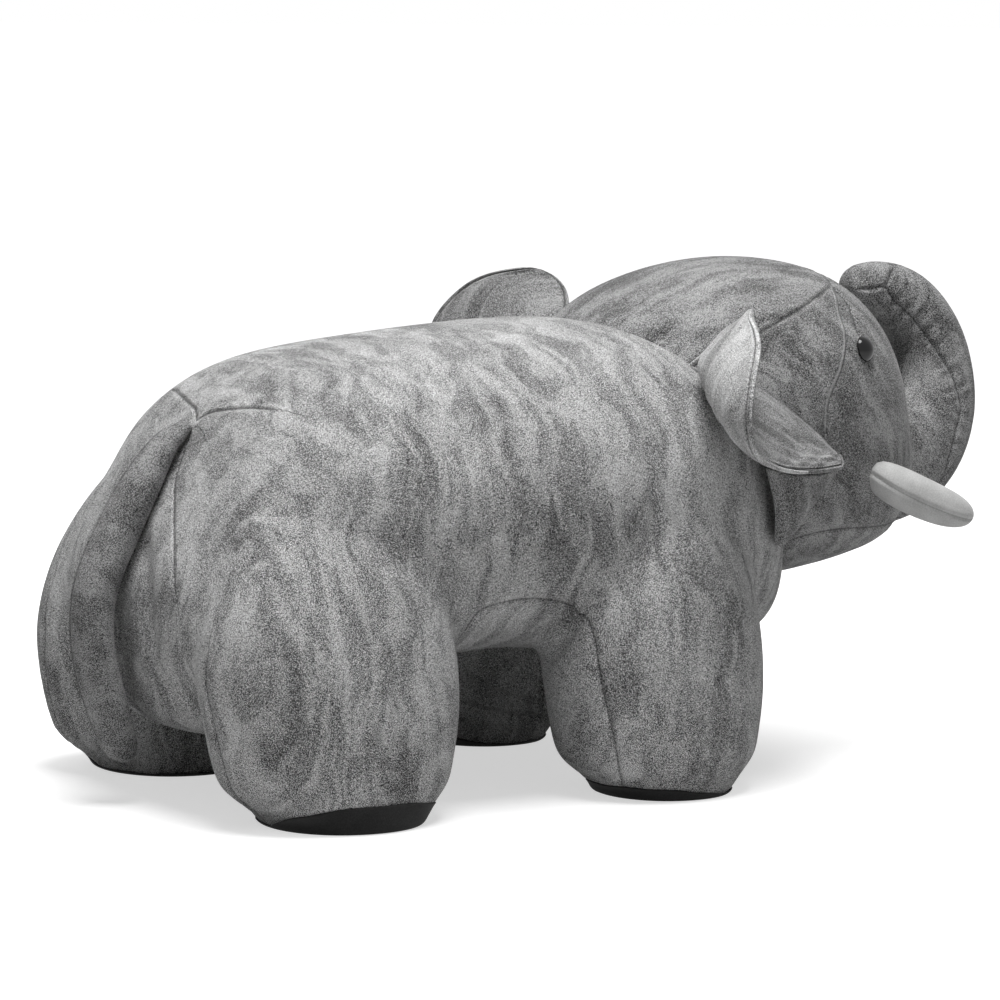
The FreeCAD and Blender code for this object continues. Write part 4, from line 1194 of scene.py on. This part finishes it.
# %% Eyes
def eye_object(side, radius=11.5, dome=7.0, rows=24, columns=64):
    """A dome: radius·sin(a)/sin(A) out and its crown's arc up, closed by a short wall."""
    seat, aim = on_side(side, [(250.7, -122.8, 367.6), (0.401, -0.872, 0.281)])
    aim = aim / np.linalg.norm(aim)
    crown = (radius ** 2 + dome ** 2) / (2 * dome)
    angle = np.linspace(0.001, np.arcsin(radius / crown), rows)
    out = np.concatenate([crown * np.sin(angle), [radius, radius * 0.96, 1.0]])
    high = np.concatenate([dome - crown * (1 - np.cos(angle)), [-0.8, -1.4, -1.4]])
    across, rise = square_axes(aim)
    turn = np.linspace(0, 2 * np.pi, columns, endpoint=False)
    ring = np.cos(turn)[:, None] * across + np.sin(turn)[:, None] * rise
    grid = seat + aim * high[:, None, None] + ring[None] * out[:, None, None]
    return mesh_object("eye_dome_" + side, *closed_tube(grid))


eyes = {side: eye_object(side) for side in SIDES}
print("eyes:", [len(eye.data.vertices) for eye in eyes.values()])

# %% [markdown]
# ## The soles
#
# Each foot stands in a shallow black cloth shoe: a flat disc whose edge is turned up the
# leg and sewn on by eye, so its top line wanders. It climbs most on the outside of the
# hind feet and behind the fore feet.

# %% Soles
SOLE_LOW = 2.2          # the turned-up edge where it is lowest, in mm


def sole_height(end, side, turn):
    """How far the sole's edge climbs the foot at each angle round it.

    It is high·max(cos(turn - toward), 0)^0.85 above the low edge, plus small waves.
    """
    toward, high = (-1.50, 21.0) if end == "hind" else (-2.75, 9.5)    # radians, mm
    toward = toward if side == "right" else -toward
    climb = np.maximum(np.cos(turn - toward), 0) ** 0.85
    return SOLE_LOW + high * climb + 0.7 * np.sin(3 * turn + 1) * climb + 0.4 * np.sin(9 * turn)


def tuck_into_sole(mesh):
    """Draw the leg's skin in under the sole's edge, and lift it off the floor.

    A point's size is how far out it lies in the leg's oval, 1 on the oval itself.
    """
    points = read_points(mesh)
    for end, side in LEGS:
        x, y, half_long, half_wide = leg_outline(end, side, points[:, 2])
        dx, dy = points[:, 0] - x, points[:, 1] - y
        size = np.abs(dx / half_long) ** LEG_POWER + np.abs(dy / half_wide) ** LEG_POWER
        size = size ** (1 / LEG_POWER)
        foot = (size < 1.3) & (points[:, 2] < 34)
        edge = sole_height(end, side, np.arctan2(dy, dx))
        inside = 1 - 2.6 / half_wide * (1 - step(points[:, 2], edge - 2.0, edge + 2.5))
        share = np.where(foot, np.minimum(1, inside / np.maximum(size, 1e-6)), 1)
        points[:, 0], points[:, 1] = x + dx * share, y + dy * share
    points[:, 2] = np.maximum(points[:, 2], 1.4)
    write_points(mesh, points)


DISC = (0.05, 0.35, 0.7, 0.9)            # the rings under the foot, as shares of its size


def sole_object(end, side, columns=160):
    """A disc, a rounded corner, a wall as high as the edge climbs, and its edge tucked in.

    The wall stands 0.8 mm proud of the leg, less 2.4·exp(-height/1.5) at the corner.
    """
    turn = np.linspace(0, 2 * np.pi, columns, endpoint=False)
    edge = sole_height(end, side, turn)
    wall = [edge * share for share in (0.03, *np.linspace(0.08, 1, 14))]
    height = np.array([0 * edge for _ in DISC] + wall + [edge + 0.5, edge - 1.5])
    x, y, half_long, half_wide = leg_outline(end, side, height)
    a, b = oval(columns, LEG_POWER)
    proud = 0.8 - 2.4 * np.exp(-height / 1.5)
    proud[-2:] = [[-1.0], [-6.0]]
    shrink = np.ones((len(height), 1))
    shrink[:len(DISC), 0] = DISC
    grid = np.stack([x + (half_long + proud) * shrink * a, y + (half_wide + proud) * shrink * b,
                     height], -1)
    thing = mesh_object("sole_cover_%s_%s" % (end, side), *closed_tube(grid))
    points = read_points(thing.data)
    set_attribute(thing.data, "nap", points)
    set_attribute(thing.data, "seam", np.full(len(points), 9.0))
    set_attribute(thing.data, "run", np.zeros(len(points)))
    return thing


tuck_into_sole(body_cover.data)
soles = {leg: sole_object(*leg) for leg in LEGS}
print("soles:", len(soles))

# %% [markdown]
# ## Dressing and riding
#
# Each cover takes its material and hides the CAD solid that it stands for. All but the ears
# and the tail ride on the stool's body. The root of each ear and of the tail is sewn down,
# and these pieces have their place baked into their meshes.

# %% Materials, bodies and replaced solids
def declare(thing, materials, nodes, root=()):
    """Dress a piece, hide the solids that it stands for, and hang it on the stool's body or bake its
    place.

    root: its contents are not used; a piece given one has its place baked into its mesh instead.
    """
    for material in materials:
        thing.data.materials.append(material)
    if root:
        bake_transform(thing)
    else:
        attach(thing, "stool")
    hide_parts(*nodes)


for (end, side), sole in soles.items():
    declare(sole, [sole_cloth], ["sole_%s_%s" % (end, side)])
legs = ["leg_%s_%s" % leg for leg in LEGS]
declare(body_cover, [suede], ["body", *legs])
# the head, the ears' fronts and the folds take the darker copy of the cloth, painted shade, the ears'
# backs the paler copy, painted light, and the tail its own darker copy, painted shade
declare(head_cover, [head_suede_painted_shade], ["head", "trunk"])
for side, out in SIDES.items():
    declare(ears[side], [ear_back_suede_painted_light, head_suede_painted_shade], ["ear_" + side],
            ("ear_" + side, (0.1429, out * 0.144, 0.326), (0.115, out * 0.170, 0.320)))
    declare(folds[side], [head_suede_painted_shade], ["ear_fold_" + side])
    declare(tusks[side], [tusk_cloth], ["tusk_" + side])
    declare(eyes[side], [eye_plastic], ["eye_" + side])
declare(tail_cover, [tail_suede], ["tail"],
        ("tail", (-0.3528, 0, 0.3137), (-0.3738, 0, 0.2971)))
print("covers:", 3 + sum(map(len, (soles, ears, folds, tusks, eyes))))

# %% [markdown]
# The frame inside keeps its CAD solids, and each gets the grain of its own stock.

# %% Inner frame materials
stock = {"seat_board": plywood, "seat_pad": foam, "foot_board": plywood, "leg_post": softwood,
         "side_rail": softwood, "end_rail": softwood}
for name, node in frame["nodes"].items():
    for key, material in stock.items():
        if name.startswith(key):
            for place in node.material_slots:
                place.material = material
print("inner solids dressed in", len(set(stock.values())), "stocks")
